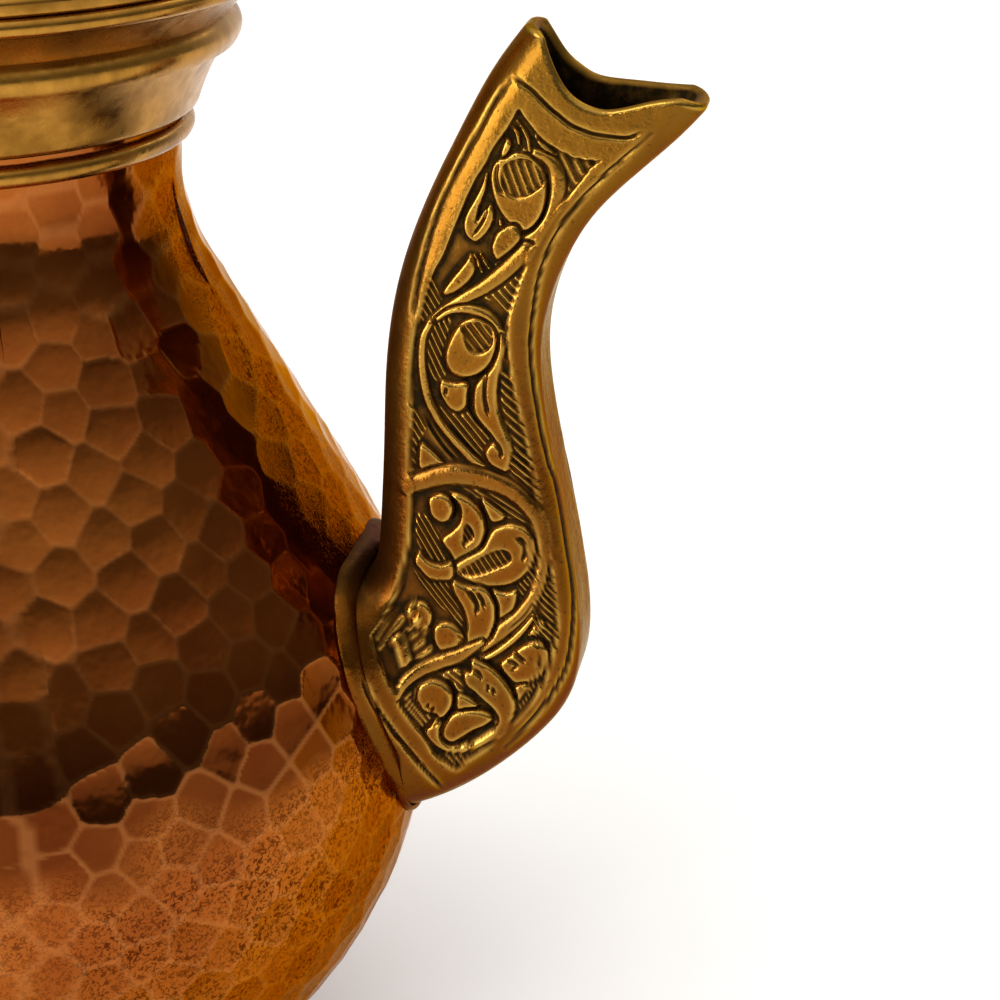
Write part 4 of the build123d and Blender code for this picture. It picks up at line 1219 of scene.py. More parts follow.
# Raised copper shell in three lengths round the pot, the one beside the spout worked finest
shellForm = dict(
    step=0.42, neckStep=0.9, boreStep=4.0, stillFoot=(12, 3), stillNeck=(150, 6), besideSpout=(12, 10, 19),
    lengths={"bodyFront": (-62.0, 0.0, 0.36), "bodyBack": (-180.0, -62.0, 0.95), "bodyFar": (0.0, 180.0, 1.0)},
)


def makeBody():
    outline = potOutline(0.0, shellForm["step"], shellForm["neckStep"])
    hollow = potOutline(potForm["wall"], shellForm["boreStep"], shellForm["boreStep"])
    rows = len(outline)
    turns, spans = [], {}
    for name, (start, end, step) in sorted(shellForm["lengths"].items(), key=lambda item: item[1][0]):
        fresh = np.linspace(start, end, round((end - start) / step) + 1)
        first = len(turns)
        turns += list(fresh[:-1])
        spans[name] = (first, len(turns))
    turns = np.radians(np.array(turns))
    columns = len(turns)
    grid = around(outline, turns)
    # No marks near the foot, near the neck and under the spout
    height = grid[..., 2]
    foot, footRun = shellForm["stillFoot"]
    neck, neckRun = shellForm["stillNeck"]
    half, rise, reach = shellForm["besideSpout"]
    beside = (grid[..., 0] > 0) & (np.abs(grid[..., 1]) < half) & (np.abs(height - bellyHeight - rise) < reach)
    still = np.clip((foot - height) / footRun, 0, 1) + np.clip((height - neck) / neckRun, 0, 1)
    still = np.clip(still + beside, 0, 1)
    points, sunk, blow = hammered(
        grid.reshape(-1, 3), gridFaces(rows, columns, ring=True), still.ravel(),
        hammerWork["bodySpacing"], hammerWork["seed"],
    )
    grid = points.reshape(rows, columns, 3)
    traits = {"crest": crests(sunk.reshape(rows, columns)), "blow": blow.reshape(rows, columns)}
    print("body hammered")
    for name, (first, last) in spans.items():
        picked = np.arange(first, last + 1) % columns
        start, end, _ = shellForm["lengths"][name]
        length = radians(end - start) * potForm["bellyRadius"]
        coarse = np.radians(np.linspace(start, end, max(2, int(length / shellForm["boreStep"]) + 1)))
        bore = around(hollow, coarse)
        shell = np.vstack([grid[:, picked].reshape(-1, 3), bore.reshape(-1, 3)])
        wide, deep, high = len(picked), len(coarse), len(hollow)
        boreStart = rows * wide
        faces = gridFaces(rows, wide, flip=True) + gridFaces(high, deep, boreStart)
        top = (rows - 1) * wide
        boreTop = boreStart + (high - 1) * deep
        faces += stitch(np.arange(wide), boreStart + np.arange(deep), True)
        faces += stitch(top + np.arange(wide), boreTop + np.arange(deep))
        faces += stitch(np.arange(rows) * wide, boreStart + np.arange(high) * deep)
        faces += stitch(np.arange(rows) * wide + wide - 1, boreStart + np.arange(high) * deep + deep - 1, True)
        carried = {
            trait: np.concatenate([values[:, picked].ravel(), np.full(high * deep, 0.5)])
            for trait, values in traits.items()
        }
        carried["tin"] = np.concatenate([np.zeros(rows * wide), np.ones(high * deep)])
        closedPiece(name, shell, faces, "pot", "copper", hammeredCopper, ("body",), 40, carried)


# Cast handle: lines across it from its upper end to its lower one, a running scroll chased on
# both sides, a palm at each end and the roll for the thumb
handleForm = dict(
    lines=[
        ((-28.0, 61.5), (-28.0, 47.0), 15.0), ((-14.0, 71.5), (-8.5, 57.5), 13.5),
        ((3.0, 82.0), (7.0, 67.0), 12.5), ((21.0, 86.0), (20.5, 70.0), 12.0),
        ((38.0, 80.0), (30.5, 66.0), 12.0), ((49.0, 66.0), (33.5, 58.0), 12.0),
        ((52.0, 46.0), (36.0, 45.5), 12.0), ((47.5, 25.0), (32.5, 29.5), 12.0),
        ((37.0, 4.5), (24.0, 12.0), 12.5), ((22.0, -11.5), (12.0, -1.5), 13.0),
        ((6.0, -22.0), (-0.5, -9.0), 14.5), ((-8.0, -27.0), (-12.0, -13.0), 15.5),
    ],
    corner=3.5, rows=430, stripColumns=9, cornerColumns=14, panelColumns=30, buried=0.8,
    wave=15.5, swing=2.6, stem=0.75, curlDrop=1.5, curlReach=3.9, curlEnd=0.9, curlTurns=1.45, curlPoints=70,
    curlStem=0.45, eye=0.95, sprigs=((0.35, 3.4), (0.85, 4.4), (1.4, 3.2)), sprig=0.5,
    sprigFrom=(0.8, 0.6), sprigReach=0.8, sprigShare=0.85, sprigStart=0.3, sprigPoints=14,
    ground=0.6, soften=0.4, border=6.4, borderWidth=0.55, dirt=0.9, worn=4, wornAbove=-0.2,
)
palmForm = dict(
    rises={"handlePalmUpper": 56.0, "handlePalmLower": -18.0}, wall=2.4, width=24.0, length=40.0, buried=0.7,
    columns=168, rows=54, underRows=14, flutes=16, fluteDepth=0.55, fluteRound=0.6, fluteFrom=(0.3, 0.1),
    fluteTo=(0.86, 0.04), dirt=0.85, seat=4.4, seatEdge=(0.9, 0.15), spread=29.0, flatShare=0.9, least=0.02,
)
thumbForm = dict(
    reach=27.0, rise=88.0, radius=5.5, width=11.0, edge=0.8, coil=1.9, groove=0.5, grooveFrom=(0.72, 0.2),
    coilFrom=1.2, least=0.15, columns=96, flatRows=26, edgeRows=5,
)


def scrollLines(length):
    # Running scroll along a strip: places along and across it and the half width of the line there
    form = handleForm
    wave, count = form["wave"], form["curlPoints"]
    along = np.arange(0, length, 0.2)
    stem = form["swing"] * np.sin(pi * along / wave)
    lines = [np.column_stack([along, stem, np.full(len(along), form["stem"])])]
    for k in range(int(length / wave) + 1):
        side = (-1) ** k
        middle = np.array([(k + 0.5) * wave, -side * form["curlDrop"]])
        turn = np.linspace(0, 2 * pi * form["curlTurns"], count)
        reach = np.linspace(form["curlReach"], form["curlEnd"], count)
        curl = middle + np.column_stack([-np.cos(turn) * reach, -side * np.sin(turn) * reach])
        lines.append(np.column_stack([curl, np.linspace(form["stem"], form["curlStem"], count)]))
        lines.append(np.array([[*middle, form["eye"]]]))
        first, root = form["sprigFrom"]
        for slant, far in form["sprigs"]:
            run = np.linspace(first, far, form["sprigPoints"])
            half = form["sprig"] * np.sin(pi * run / far * form["sprigShare"] + form["sprigStart"])
            lines.append(np.column_stack([
                k * wave + run * cos(slant) * form["sprigReach"], side * (-root - run * sin(slant)), half,
            ]))
    return np.vstack(lines)


def chased(along, across, length):
    # Relief in millimetres below the skin, by the place along and across the strip
    lines = scrollLines(length)
    tree = kdtree.KDTree(len(lines))
    for k, (x, y, _) in enumerate(lines):
        tree.insert((x, y, 0), k)
    tree.balance()
    over = np.full(along.shape, -9.0)
    near = np.abs(across) < handleForm["border"]
    for row, column in zip(*np.nonzero(near)):
        _, found, off = tree.find((along[row, column], across[row, column], 0))
        over[row, column] = lines[found, 2] - off
    over = np.maximum(over, np.abs(across) - handleForm["border"] + handleForm["borderWidth"])
    return -handleForm["ground"] * (1 - np.clip(over / handleForm["soften"] + 0.5, 0, 1))


def makeHandle():
    tube = Tube(handleForm, -1)
    last = len(handleForm["lines"]) - 1
    counts = np.linspace(0, last, 1600)
    path = tube.points(counts[:, None] + np.zeros(len(tube.columns)))
    shown = aboveBody(path.reshape(-1, 3)).reshape(len(counts), -1) > -handleForm["buried"]
    starts, ends = counts[shown.argmax(axis=0)], counts[-1 - shown[::-1].argmax(axis=0)]
    at = tube.spread(starts, ends, handleForm["rows"])
    skin = tube.points(at)
    normal = gridNormals(skin)
    normal *= -np.sign(normal[len(normal) // 2, normal.shape[1] // 2, 1])
    _, _, _, _, across, thick = tube.section(at)
    share, _, deep, bend = tube.columns[:, :4].T
    corner = handleForm["corner"]
    off = corner * (pi / 2 - np.arcsin(np.clip(bend, 0, 1))) + (1 - deep) * (thick / 2 - corner)
    side = (share - 0.5) * (across - 2 * corner) + np.sign(share - 0.5) * off
    middle = skin[:, skin.shape[1] // 2]
    run = np.concatenate([[0], np.cumsum(np.linalg.norm(np.diff(middle, axis=0), axis=1))])
    relief = chased(run[:, None] + 0 * side, side, run[-1])
    skin = skin + normal * relief[..., None]
    skin[:, 0, 1] = skin[:, -1, 1] = 0
    beside = sum(np.roll(relief, *step) for step in ((3, 0), (-3, 0), (2, 1), (-2, 1))) / 4
    soot = np.clip(-relief / handleForm["ground"] * handleForm["dirt"], 0, 1)
    # Crests lighter, as wear and as a painted highlight
    worn = np.clip(handleForm["worn"] * (relief - beside), 0, 1) * (relief > handleForm["wornAbove"])
    # Both sides in one ring round the casting
    whole = np.concatenate([skin, skin[:, -2:0:-1] * (1, -1, 1)], axis=1)
    marks = [np.concatenate([values, values[:, -2:0:-1]], axis=1).ravel() for values in (soot, worn)]
    rows, columns = whole.shape[:2]
    faces = gridFaces(rows, columns, ring=True)
    faces += capFaces(rows, columns)
    closedPiece(
        "handleCasting", whole.reshape(-1, 3), faces, "pot", "cast_brass", castBrass, ("handle",), 60,
        dict(zip(("soot", "worn"), marks)),
    )
    for name, rise in palmForm["rises"].items():
        makePalm(name, rise)
    makeThumbRoll()


def makePalm(name, rise):
    # Oval plate on the body's side, fluted between its edge and the seats of its two rivets
    form = palmForm
    slope = asin(rise / potForm["bellyRadius"]) if rise < potForm["bellyRadius"] * sin(lean) else lean
    turns = np.linspace(0, 2 * pi, form["columns"], endpoint=False)
    edgeRows, share = form["rows"] // 4, form["flatShare"]
    bend = np.linspace(0, pi / 2, edgeRows)
    flat = np.linspace(form["least"], share, form["rows"] - 2 * edgeRows)
    out = np.concatenate([flat, share + (1 - share) * np.sin(bend)[1:]])
    high = form["wall"] * np.concatenate([np.ones(len(flat)), np.cos(bend)[1:]])
    wide = out[:, None] * form["width"] / 2 * np.cos(turns)
    long = out[:, None] * form["length"] / 2 * np.sin(turns)
    seat = np.hypot(wide, np.abs(long) - form["spread"] / 2) / form["seat"]
    (start, startRun), (end, endRun), (clear, clearRun) = form["fluteFrom"], form["fluteTo"], form["seatEdge"]
    window = np.clip((out - start) / startRun, 0, 1) * np.clip((end - out) / endRun, 0, 1)
    flute = (0.5 - 0.5 * np.cos(form["flutes"] * turns)) ** form["fluteRound"]
    cut = form["fluteDepth"] * window[:, None] * flute * np.clip((seat - clear) / clearRun, 0, 1)
    below = np.linspace(1, form["least"], form["underRows"])[:, None]
    wide = np.vstack([wide, below * form["width"] / 2 * np.cos(turns)])
    long = np.vstack([long, below * form["length"] / 2 * np.sin(turns)])
    height = np.vstack([high[:, None] - cut, np.full((len(below), len(turns)), -form["buried"])])
    points = overBody(wide.ravel(), (rise + long * cos(slope)).ravel(), height.ravel()) * (-1, 1, 1)
    rows, columns = height.shape
    soot = np.zeros(height.shape)
    soot[: len(out)] = cut / form["fluteDepth"] * form["dirt"]
    faces = gridFaces(rows, columns, ring=True) + capFaces(rows, columns)
    traits = {"soot": soot.ravel(), "worn": 0 * soot.ravel()}
    closedPiece(name, points, faces, "pot", "cast_brass", castBrass, ("handle",), 60, traits)


def makeThumbRoll():
    # Short cylinder across the handle, with a coil cut in both of its ends
    form = thumbForm
    radius, half, edge = form["radius"], form["width"] / 2, form["edge"]
    turns = np.linspace(0, 2 * pi, form["columns"], endpoint=False)
    flat = np.linspace(form["least"], radius - edge, form["flatRows"])
    bend = np.linspace(0, pi / 2, form["edgeRows"] + 1)[1:]
    out, down = radius - edge + edge * np.sin(bend), half - edge + edge * np.cos(bend)
    reach = np.concatenate([flat, out, out[::-1], flat[::-1]])
    level = np.concatenate([flat * 0 - half, -down, down[::-1], flat * 0 + half])
    points, soot = [], []
    start, run = form["grooveFrom"]
    for r, y in zip(reach, level):
        coil = np.abs(((r / form["coil"] - turns / (2 * pi)) % 1.0) - 0.5) * 2
        cut = np.clip((coil - start) / run, 0, 1) * (form["coilFrom"] < r < radius - edge)
        points.append(np.column_stack([
            -(potForm["bellyRadius"] + form["reach"]) - r * np.cos(turns),
            np.full(len(turns), y) * (1 - form["groove"] * cut / half),
            bellyHeight + form["rise"] + r * np.sin(turns),
        ]))
        soot.append(cut)
    rows, columns = len(points), len(turns)
    faces = gridFaces(rows, columns, ring=True) + capFaces(rows, columns)
    traits = {"soot": np.array(soot).ravel(), "worn": np.zeros(rows * columns)}
    closedPiece(
        "handleThumbRoll", np.vstack(points), faces, "pot", "cast_brass", castBrass, ("handle",), 40, traits,
    )


# Turned pieces: each an outline of radius and height, closed round the axis
collarForm = dict(
    skirtLap=9.0, skirtWall=1.5, fit=0.05, hem=(0.5, 0.35), bandWall=4.3, bandHeight=5.0, bulge=1.25,
    lipReach=9.3, lipHeight=12.0, lipEdge=2.6, lipInside=((0.9, 0.0), (0.35, 0.25), (0.02, 0.9)),
    neckStep=1.5, skirtStep=0.8, bandRows=13, flareRows=14, lipRows=11, columns=420,
)
lipTop = neckTop + collarForm["lipHeight"]
neckEdge = waistCentre[0] + potForm["neckCurve"] * cos(radians(neckAngle(neckTop, potForm["neckCurve"])))
lipRadius = neckEdge + collarForm["lipReach"]
lidForm = dict(
    rimInset=0.5, rimWall=2.6, rimRound=0.9, bezelGap=0.8, bezelWall=1.0, bezelDepth=6.5, bezelRound=0.25,
    footRadius=40.0, flange=3.0, flangeRound=0.4, footOut=(0.3, 1.4), footIn=(-0.4, 1.2), rise=28.0, wall=1.2,
    studRadius=2.5, ventRadius=1.5, ventLift=48.0, step=0.75, stillFoot=(4.5, 2.5), stillKnob=(12.5, 2),
    stillStrap=(9, 1.5), strapTop=(17, 1.5), stillVent=(3.2, 1.0),
)
rimTop = lipTop + lidForm["rimWall"]
domeRadius = (lidForm["footRadius"] ** 2 + lidForm["rise"] ** 2) / (2 * lidForm["rise"])
apex = rimTop + lidForm["rise"]
domeCentre = apex - domeRadius


def turnedPiece(
    name, outline, body, node, columns, loop=True, shape=None, slotName="turned_brass", material=turnedBrass,
):
    outline = np.asarray(outline, float)
    turns = np.linspace(0, 2 * pi, columns, endpoint=False)
    grid = around(outline, turns)
    if shape:
        grid = shape(grid, outline, turns)
    rows = len(outline)
    faces = gridFaces(rows, columns, ring=True)
    if loop:
        ring = np.append(np.arange(columns), 0)
        faces += bandFaces(ring + (rows - 1) * columns, ring)
    else:
        faces += capFaces(rows, columns)
    closedPiece(name, grid.reshape(-1, 3), faces, body, slotName, material, (node,), 35)


def roundedBox(inner, outer, low, high, bevel, count):
    # Section of a plain ring with rounded edges
    left, right, under, over = inner + bevel, outer - bevel, low + bevel, high - bevel
    middles = ((right, over), (left, over), (left, under), (right, under))
    bend = np.linspace(0, pi / 2, count)
    return [
        (x + bevel * cos(a + k * pi / 2), z + bevel * sin(a + k * pi / 2))
        for k, (x, z) in enumerate(middles) for a in bend
    ]


def makeCollar():
    # Skirt lapped over the neck, a bulged band and the everted lip
    form = collarForm
    low = neckTop - form["skirtLap"]
    curve, skirt = potForm["neckCurve"], potForm["neckCurve"] - form["skirtWall"]
    inner = arcPoints(
        waistCentre, curve - form["fit"], neckAngle(low, curve), neckAngle(neckTop, curve), form["neckStep"],
    )
    outer = arcPoints(waistCentre, skirt, neckAngle(low, skirt), neckAngle(neckTop, skirt), form["skirtStep"])
    hem = [(outer[0, 0] - form["hem"][0], low), (outer[0, 0], outer[0, 1] + form["hem"][1])]
    band, half = neckEdge + form["bandWall"], form["lipEdge"] / 2
    t = np.linspace(0, 1, form["bandRows"])
    bulge = np.column_stack([band - form["bulge"] * (2 * t - 1) ** 2, neckTop + t * form["bandHeight"]])
    start, end = bulge[-1], np.array([lipRadius - half, lipTop - form["lipEdge"]])
    middle = np.array([band + half / 2, (start[1] + end[1]) / 2])
    t = np.linspace(0, 1, form["flareRows"])[1:, None]
    flare = (1 - t) ** 2 * start + 2 * t * (1 - t) * (2 * middle - (start + end) / 2) + t * t * end
    bend = np.linspace(0, pi, form["lipRows"])[1:]
    edge = np.column_stack([end[0] + half * np.sin(bend), lipTop - half - half * np.cos(bend)])
    inside = [(neckEdge + out, lipTop - drop) for out, drop in form["lipInside"]]
    outline = np.vstack([inner[::-1], hem, outer[1:], bulge[1:], flare, edge, inside])
    turnedPiece("collarRing", outline, "pot", "collar", form["columns"])


panForm = dict(
    middle=0.4, under=(8, 20, 34), over=(30, 15), lowRound=1.0, sideHeight=3.0, rimRound=0.5, bendRows=6,
)


def makeTurned():
    makeCollar()
    form, bezel = lidForm, neckEdge - lidForm["bezelGap"]
    inner = bezel - form["bezelWall"]
    rim = roundedBox(inner, lipRadius - form["rimInset"], lipTop, rimTop, form["rimRound"], 8)
    turnedPiece("lidRimRing", rim, "lid", "lid_rim", 360)
    ring = roundedBox(inner, bezel, lipTop - form["bezelDepth"], lipTop, form["bezelRound"], 3)
    turnedPiece("lidBezelRing", ring, "lid", "lid_bezel", 240)
    pan, wall, form = potForm["footHeight"] - potForm["bareFoot"], potForm["panWall"], panForm
    outer, low, rim = potForm["footRadius"] + wall, form["lowRound"], form["rimRound"]
    bend = np.linspace(0, pi / 2, form["bendRows"])
    outline = [(form["middle"], 0.0)] + [(r, 0) for r in form["under"]]
    outline += [(outer - low + low * sin(a), low - low * cos(a)) for a in bend] + [(outer, form["sideHeight"])]
    outline += [(outer - rim + rim * cos(a), pan - rim + rim * sin(a)) for a in bend]
    outline += [(potForm["footRadius"], pan), (potForm["footRadius"], wall)]
    outline += [(r, wall) for r in (*form["over"], form["middle"])]
    turnedPiece("basePan", outline, "pot", "base_plate", 256, False, None, "copper", hammeredCopper)


knobForm = dict(
    stud=2.5, studEnd=8.0, studCap=((0.3, 0.1), (2.1, 0.0), (2.5, 0.5)),
    collar=5.6, collarRise=2.2, collarRows=13, neck=3.4, neckRise=4.5, neckFlare=0.6, neckRows=12,
    ball=8.0, ballStep=0.45, tip=2.8, tipNeck=1.9, tipStep=0.3, tipEnd=86,
    rosette=11.0, rosetteWall=2.6, rosetteRound=1.4, rosetteEdge=(0.1, 0.2), rosetteOver=0.02,
    petals=12, petalDepth=0.5, petalPull=0.06, petalFrom=(1.2, 1.0), petalHigh=0.6, pullWidth=2,
)


def makeKnob():
    form = knobForm
    low = apex + form["rosetteWall"]
    neckLow = low + form["collarRise"]
    neckHigh = neckLow + form["neckRise"]
    ballHeight = neckHigh + sqrt(form["ball"] ** 2 - form["neck"] ** 2)
    tipLow = ballHeight + sqrt(form["ball"] ** 2 - form["tipNeck"] ** 2)
    tipHeight = tipLow + sqrt(form["tip"] ** 2 - form["tipNeck"] ** 2)
    end = apex - lidForm["wall"] - form["studEnd"]
    stud = [(r, end + rise) for r, rise in form["studCap"]] + [(form["stud"], low)]
    turns = np.radians(np.linspace(-90, 90, form["collarRows"]))
    rise = form["collarRise"]
    bulge = form["collar"] + rise / 3 * np.cos(turns)
    collar = np.column_stack([bulge, low + rise * (0.5 + 0.5 * np.sin(turns))])
    t = np.linspace(0, 1, form["neckRows"])[1:-1]
    waist = form["neck"] + (form["collar"] - form["neck"]) * (1 - t) ** 4 + form["neckFlare"] * t**6
    neck = np.column_stack([waist, neckLow + form["neckRise"] * t])
    start = degrees(atan2(neckHigh - ballHeight, form["neck"]))
    stop = degrees(atan2(tipLow - ballHeight, form["tipNeck"]))
    ball = arcPoints((0, ballHeight), form["ball"], start, stop, form["ballStep"])
    start = degrees(atan2(tipLow - tipHeight, form["tipNeck"]))
    tip = arcPoints((0, tipHeight), form["tip"], start, form["tipEnd"], form["tipStep"])
    outline = np.vstack([stud, collar, neck, ball, tip])
    turnedPiece("knob", outline, "lid", "finial", 160, loop=False)
    out, bevel = form["rosette"], form["rosetteRound"]
    radii = np.linspace(form["stud"], out - 0.2, 14)
    under = [(r, domeCentre + sqrt(domeRadius**2 - r**2) + form["rosetteOver"]) for r in radii]
    inset, rise = form["rosetteEdge"]
    bend = np.linspace(0, pi / 2, 9)
    over = [(out - bevel + bevel * cos(a), low - bevel + bevel * sin(a)) for a in bend]
    over += [(r, low) for r in np.linspace(out - bevel - 0.4, form["stud"], 18)]

    def petals(grid, outline, turns):
        gap = (0.5 + 0.5 * np.cos(form["petals"] * turns)) ** 2
        start, run = form["petalFrom"]
        window = np.clip((outline[:, :1] - form["collar"] - start) / run, 0, 1)
        window = window * (outline[:, 1:] > apex + form["petalHigh"])
        grid[..., 2] -= form["petalDepth"] * window * gap
        pull = form["petalPull"] * window * (outline[:, :1] > out - form["pullWidth"]) * gap
        grid[..., :2] *= (1 - pull)[..., None]
        return grid

    outline = under + [(out - inset, apex + rise)] + over
    turnedPiece("knobRosette", outline, "lid", "finial_rosette", 240, shape=petals)


def makeDome():
    # Hammered dome with its flange, and a steam hole pierced through both of its sides
    form = lidForm
    foot, wall, vent = form["footRadius"], form["wall"], form["ventRadius"]
    start, end = asin(form["studRadius"] / domeRadius), asin(foot / domeRadius)
    tilt = np.linspace(start, end, int((end - start) * domeRadius / form["step"]))
    columns = int(2 * pi * foot / form["step"])
    turns = np.linspace(0, 2 * pi, columns, endpoint=False)
    arc = lambda radius: np.column_stack([radius * np.sin(tilt), domeCentre + radius * np.cos(tilt)])
    flange, bevel, top = foot + form["flange"], form["flangeRound"], rimTop + wall
    outline = arc(domeRadius)
    shown = int((outline[:, 1] >= top).sum())
    hem = [(foot + out, top) for out in form["footOut"]] + [(flange - bevel, top), (flange, top - bevel)]
    outline = np.vstack([outline[:shown], hem])
    inner = arc(domeRadius - wall)[:shown]
    inner[:, 0] = np.maximum(inner[:, 0], form["studRadius"])
    inner[-1, 1] = rimTop
    hem = [(foot + out, rimTop) for out in form["footIn"]]
    inner = np.vstack([inner, hem, [(flange - bevel, rimTop), (flange, rimTop + bevel)]])
    rows = len(outline)
    skin, bore = around(outline, turns), around(inner, turns)
    centre = np.array([0, 0, domeCentre])
    aim = np.array([cos(radians(form["ventLift"])), 0, sin(radians(form["ventLift"]))])
    faces = gridFaces(rows, columns, ring=True)

    def aside(grid):
        # Points square off the steam hole's axis, and how far they are from it
        off = grid.reshape(-1, 3) - centre
        flat = off - (off @ aim)[:, None] * aim
        return flat, np.where(off @ aim > 0, np.linalg.norm(flat, axis=1), 99)

    _, gap = aside(skin)
    gone, kept = [], []
    for face in faces:
        (gone if min(gap[v] for v in face) < vent else kept).append(face)
    lost, left = (
        {tuple(sorted((face[i - 1], face[i]))): (face[i - 1], face[i]) for face in group for i in range(4)}
        for group in (gone, kept)
    )
    edges = [left[pair] for pair in lost if pair in left]
    rim = sorted({v for pair in edges for v in pair})
    for grid, radius in ((skin, domeRadius), (bore, domeRadius - wall)):
        flat, away = aside(grid)
        run = flat[rim] / away[rim, None] * vent
        grid.reshape(-1, 3)[rim] = centre + run + aim * sqrt(radius**2 - vent**2)
    # No marks near the rim, under the knob and the strap, and round the steam hole
    x, y, height = skin[..., 0], skin[..., 1], skin[..., 2]
    within = lambda values, limit, run: np.clip((limit - values) / run, 0, 1)
    still = within(height - rimTop, *form["stillFoot"]) + within(np.hypot(x, y), *form["stillKnob"])
    strap = within(np.abs(y), *form["stillStrap"]) * within(height - rimTop, *form["strapTop"])
    still = np.clip((still + strap * (x < 0)).ravel() + within(gap, *form["stillVent"]), 0, 1)
    worked, sunk, blow = hammered(
        skin.reshape(-1, 3), kept, still, hammerWork["domeSpacing"], hammerWork["domeSeed"],
    )
    count = rows * columns
    points = np.vstack([worked, bore.reshape(-1, 3)])
    shell = kept + [[v + count for v in face[::-1]] for face in kept]
    shell += [[b, a, a + count, b + count] for a, b in edges]
    ring = np.append(np.arange(columns), 0)
    shell += bandFaces(ring + count, ring) + bandFaces(ring + count - columns, ring + 2 * count - columns)
    # Points that no face holds, inside the steam hole, are left out
    used = np.zeros(len(points), bool)
    used[np.concatenate(shell)] = True
    fresh = np.cumsum(used) - 1
    shell = [[int(fresh[v]) for v in face] for face in shell]
    half = np.full(count, 0.5)
    carried = {
        "crest": np.concatenate([crests(sunk.reshape(rows, columns)).ravel(), half])[used],
        "blow": np.concatenate([blow, half])[used],
        "tin": np.concatenate([np.zeros(count), np.ones(count)])[used],
    }
    closedPiece("lidDome", points[used], shell, "lid", "copper", hammeredCopper, ("lid_dome",), 40, carried)


# Floor, light and view
studioLook = dict(
    floorRadius=40.0, floorLift=0.22, skyHeights=(0.0, 0.42, 0.8, 1.0), skyTones=(0.12, 0.2, 0.95, 1.2),
    back=(0.58, 0.92, 0.0, 0.8), side=(-0.2, -0.9, 0.0, 0.5), glowHeight=(0.5, 0.1),
    skyColour=(1.0, 0.98, 0.95, 1.0), paleView=1.0, paleGloss=0.55, flagAim=(0.906, -0.423, 0.0),
    flagEdge=(0.2, 0.5),
    floorTones=((0.93, 0.925, 0.915, 1), (0.94, 0.935, 0.925, 1)), floorScale=3.0, floorRough=0.9,
    floorGlow=(1.0, 0.99, 0.97, 1), floorSides=96,
)
lampPlaces = {
    "keyLamp": dict(place=(-0.48, -0.85, 0.40), size=(0.62, 0.78), watts=8.5, aim=(0.06, 0, 0.38)),
    "topLamp": dict(place=(-0.35, -0.25, 1.15), size=(0.5, 0.5), watts=3.0, aim=(0.03, 0, 0.1)),
    "backLamp": dict(place=(0.5, 0.9, 0.9), size=(0.6, 0.6), watts=2.0, aim=(0.03, 0, 0.1)),
}


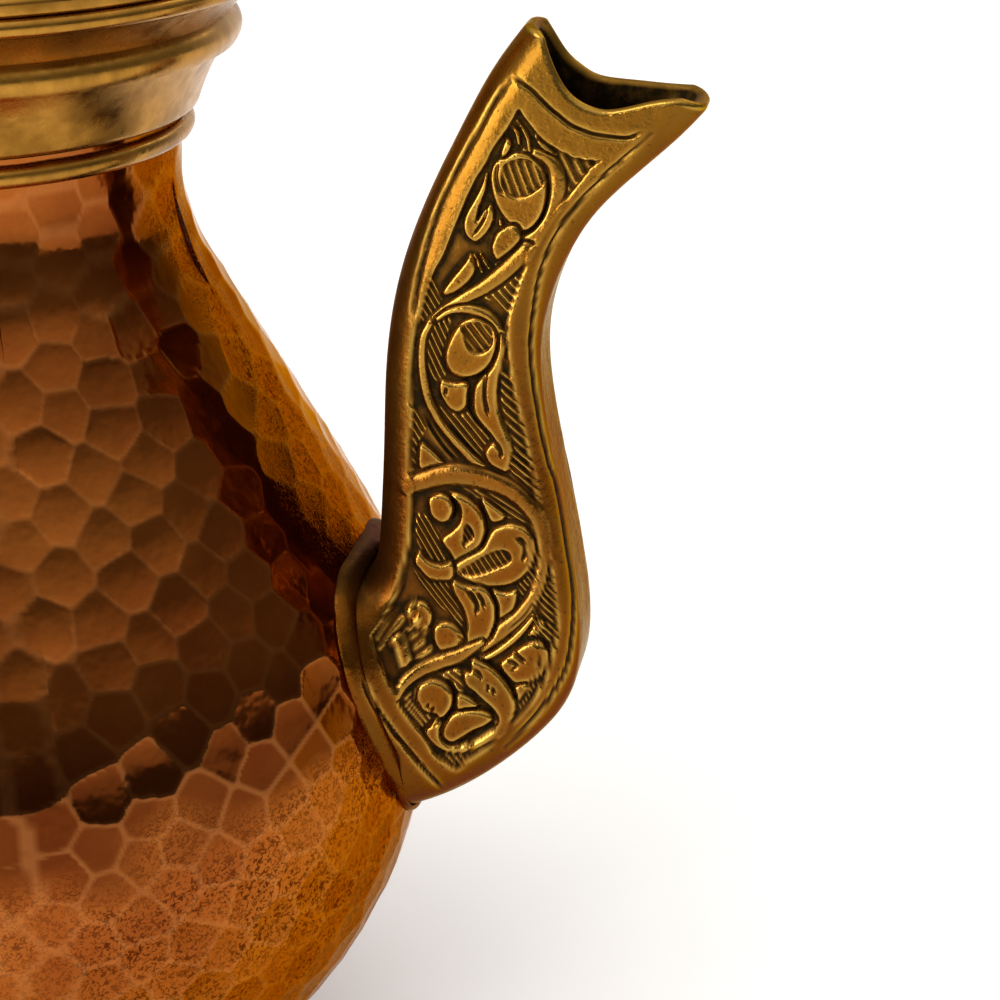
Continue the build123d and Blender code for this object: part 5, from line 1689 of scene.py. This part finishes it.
def makeStudio():
    world = bpy.data.worlds.new("studio")
    bpy.context.scene.world = world
    world.use_nodes = True
    kit = Tree(world.node_tree)
    direction = kit.add("ShaderNodeTexCoord").outputs["Generated"]
    towards = kit.add("ShaderNodeSeparateXYZ", {0: direction}).outputs
    strength = studioLook["skyTones"][0]
    steps = list(zip(studioLook["skyHeights"], studioLook["skyTones"]))
    for (low, lowTone), (high, highTone) in zip(steps[:-1], steps[1:]):
        strength = kit.plus(strength, kit.span(towards[2], low, high, 0.0, highTone - lowTone))
    glow = kit.most(kit.span(towards[1], *studioLook["back"]), kit.span(towards[0], *studioLook["side"]))
    strength = kit.plus(strength, kit.times(glow, kit.span(towards[2], *studioLook["glowHeight"])))
    # The backdrop is pale, but for a dark flag on the right that only the metal sees
    rays = kit.add("ShaderNodeLightPath").outputs
    gloss = kit.most(rays["Is Glossy Ray"], rays["Is Transmission Ray"])
    flag = kit.span(kit.measure("DOT_PRODUCT", direction, studioLook["flagAim"]), *studioLook["flagEdge"])
    pale = kit.times(kit.times(gloss, studioLook["paleGloss"]), kit.minus(1.0, flag))
    pale = kit.most(pale, kit.times(rays["Is Camera Ray"], studioLook["paleView"]))
    ports = {"Color": studioLook["skyColour"], "Strength": kit.most(strength, pale)}
    kit.add("ShaderNodeOutputWorld", {"Surface": kit.add("ShaderNodeBackground", ports).outputs[0]})
    material, kit, place = shaderTree("paleFloor")
    shade = kit.mix(kit.noise(place, studioLook["floorScale"]), *studioLook["floorTones"])
    rays = kit.add("ShaderNodeLightPath").outputs
    seen = kit.most(rays["Is Camera Ray"], kit.most(rays["Is Glossy Ray"], rays["Is Transmission Ray"]))
    finishShader(kit, {
        "Base Color": shade, "Roughness": studioLook["floorRough"], "Specular IOR Level": 0.0,
        "Emission Color": studioLook["floorGlow"],
        "Emission Strength": kit.times(seen, studioLook["floorLift"]),
    })
    sides, radius = studioLook["floorSides"], studioLook["floorRadius"]
    edge = [(radius * cos(2 * pi * k / sides), radius * sin(2 * pi * k / sides), 0) for k in range(sides)]
    mesh = bpy.data.meshes.new("floor")
    mesh.from_pydata(edge, [], [list(range(sides))])
    mesh.materials.append(material)
    floor = bpy.data.objects.new("floor", mesh)
    bpy.context.scene.collection.objects.link(floor)
    for name, lamp in lampPlaces.items():
        light = bpy.data.lights.new(name, "AREA")
        light.shape, light.energy = "RECTANGLE", lamp["watts"]
        light.size, light.size_y = lamp["size"]
        holder = bpy.data.objects.new(name, light)
        bpy.context.scene.collection.objects.link(holder)
        holder.location = lamp["place"]
        aim = Vector(lamp["aim"]) - holder.location
        holder.rotation_euler = aim.to_track_quat("-Z", "Y").to_euler()
    bpy.context.scene.view_settings.view_transform = "Standard"


makeCamera()
makeStudio()
makeSpout()
print("spout made")
makeBody()
print("body made")
makeHandle()
print("handle made")
makeTurned()
makeKnob()
makeDome()
print("lid and turned pieces made")
finishes = {
    "copper": hammeredCopper, "cast_brass": castBrass, "turned_brass": turnedBrass,
    "rivet_copper": rivetCopper, "steel_pin": ironPin,
}
for name, node in frame["nodes"].items():
    slotName = next(part["material_slot"] for part in frame["record"]["subparts"] if part["node"] == name)
    node.data.materials.clear()
    node.data.materials.append(finishes[slotName])
print("carried nodes finished")
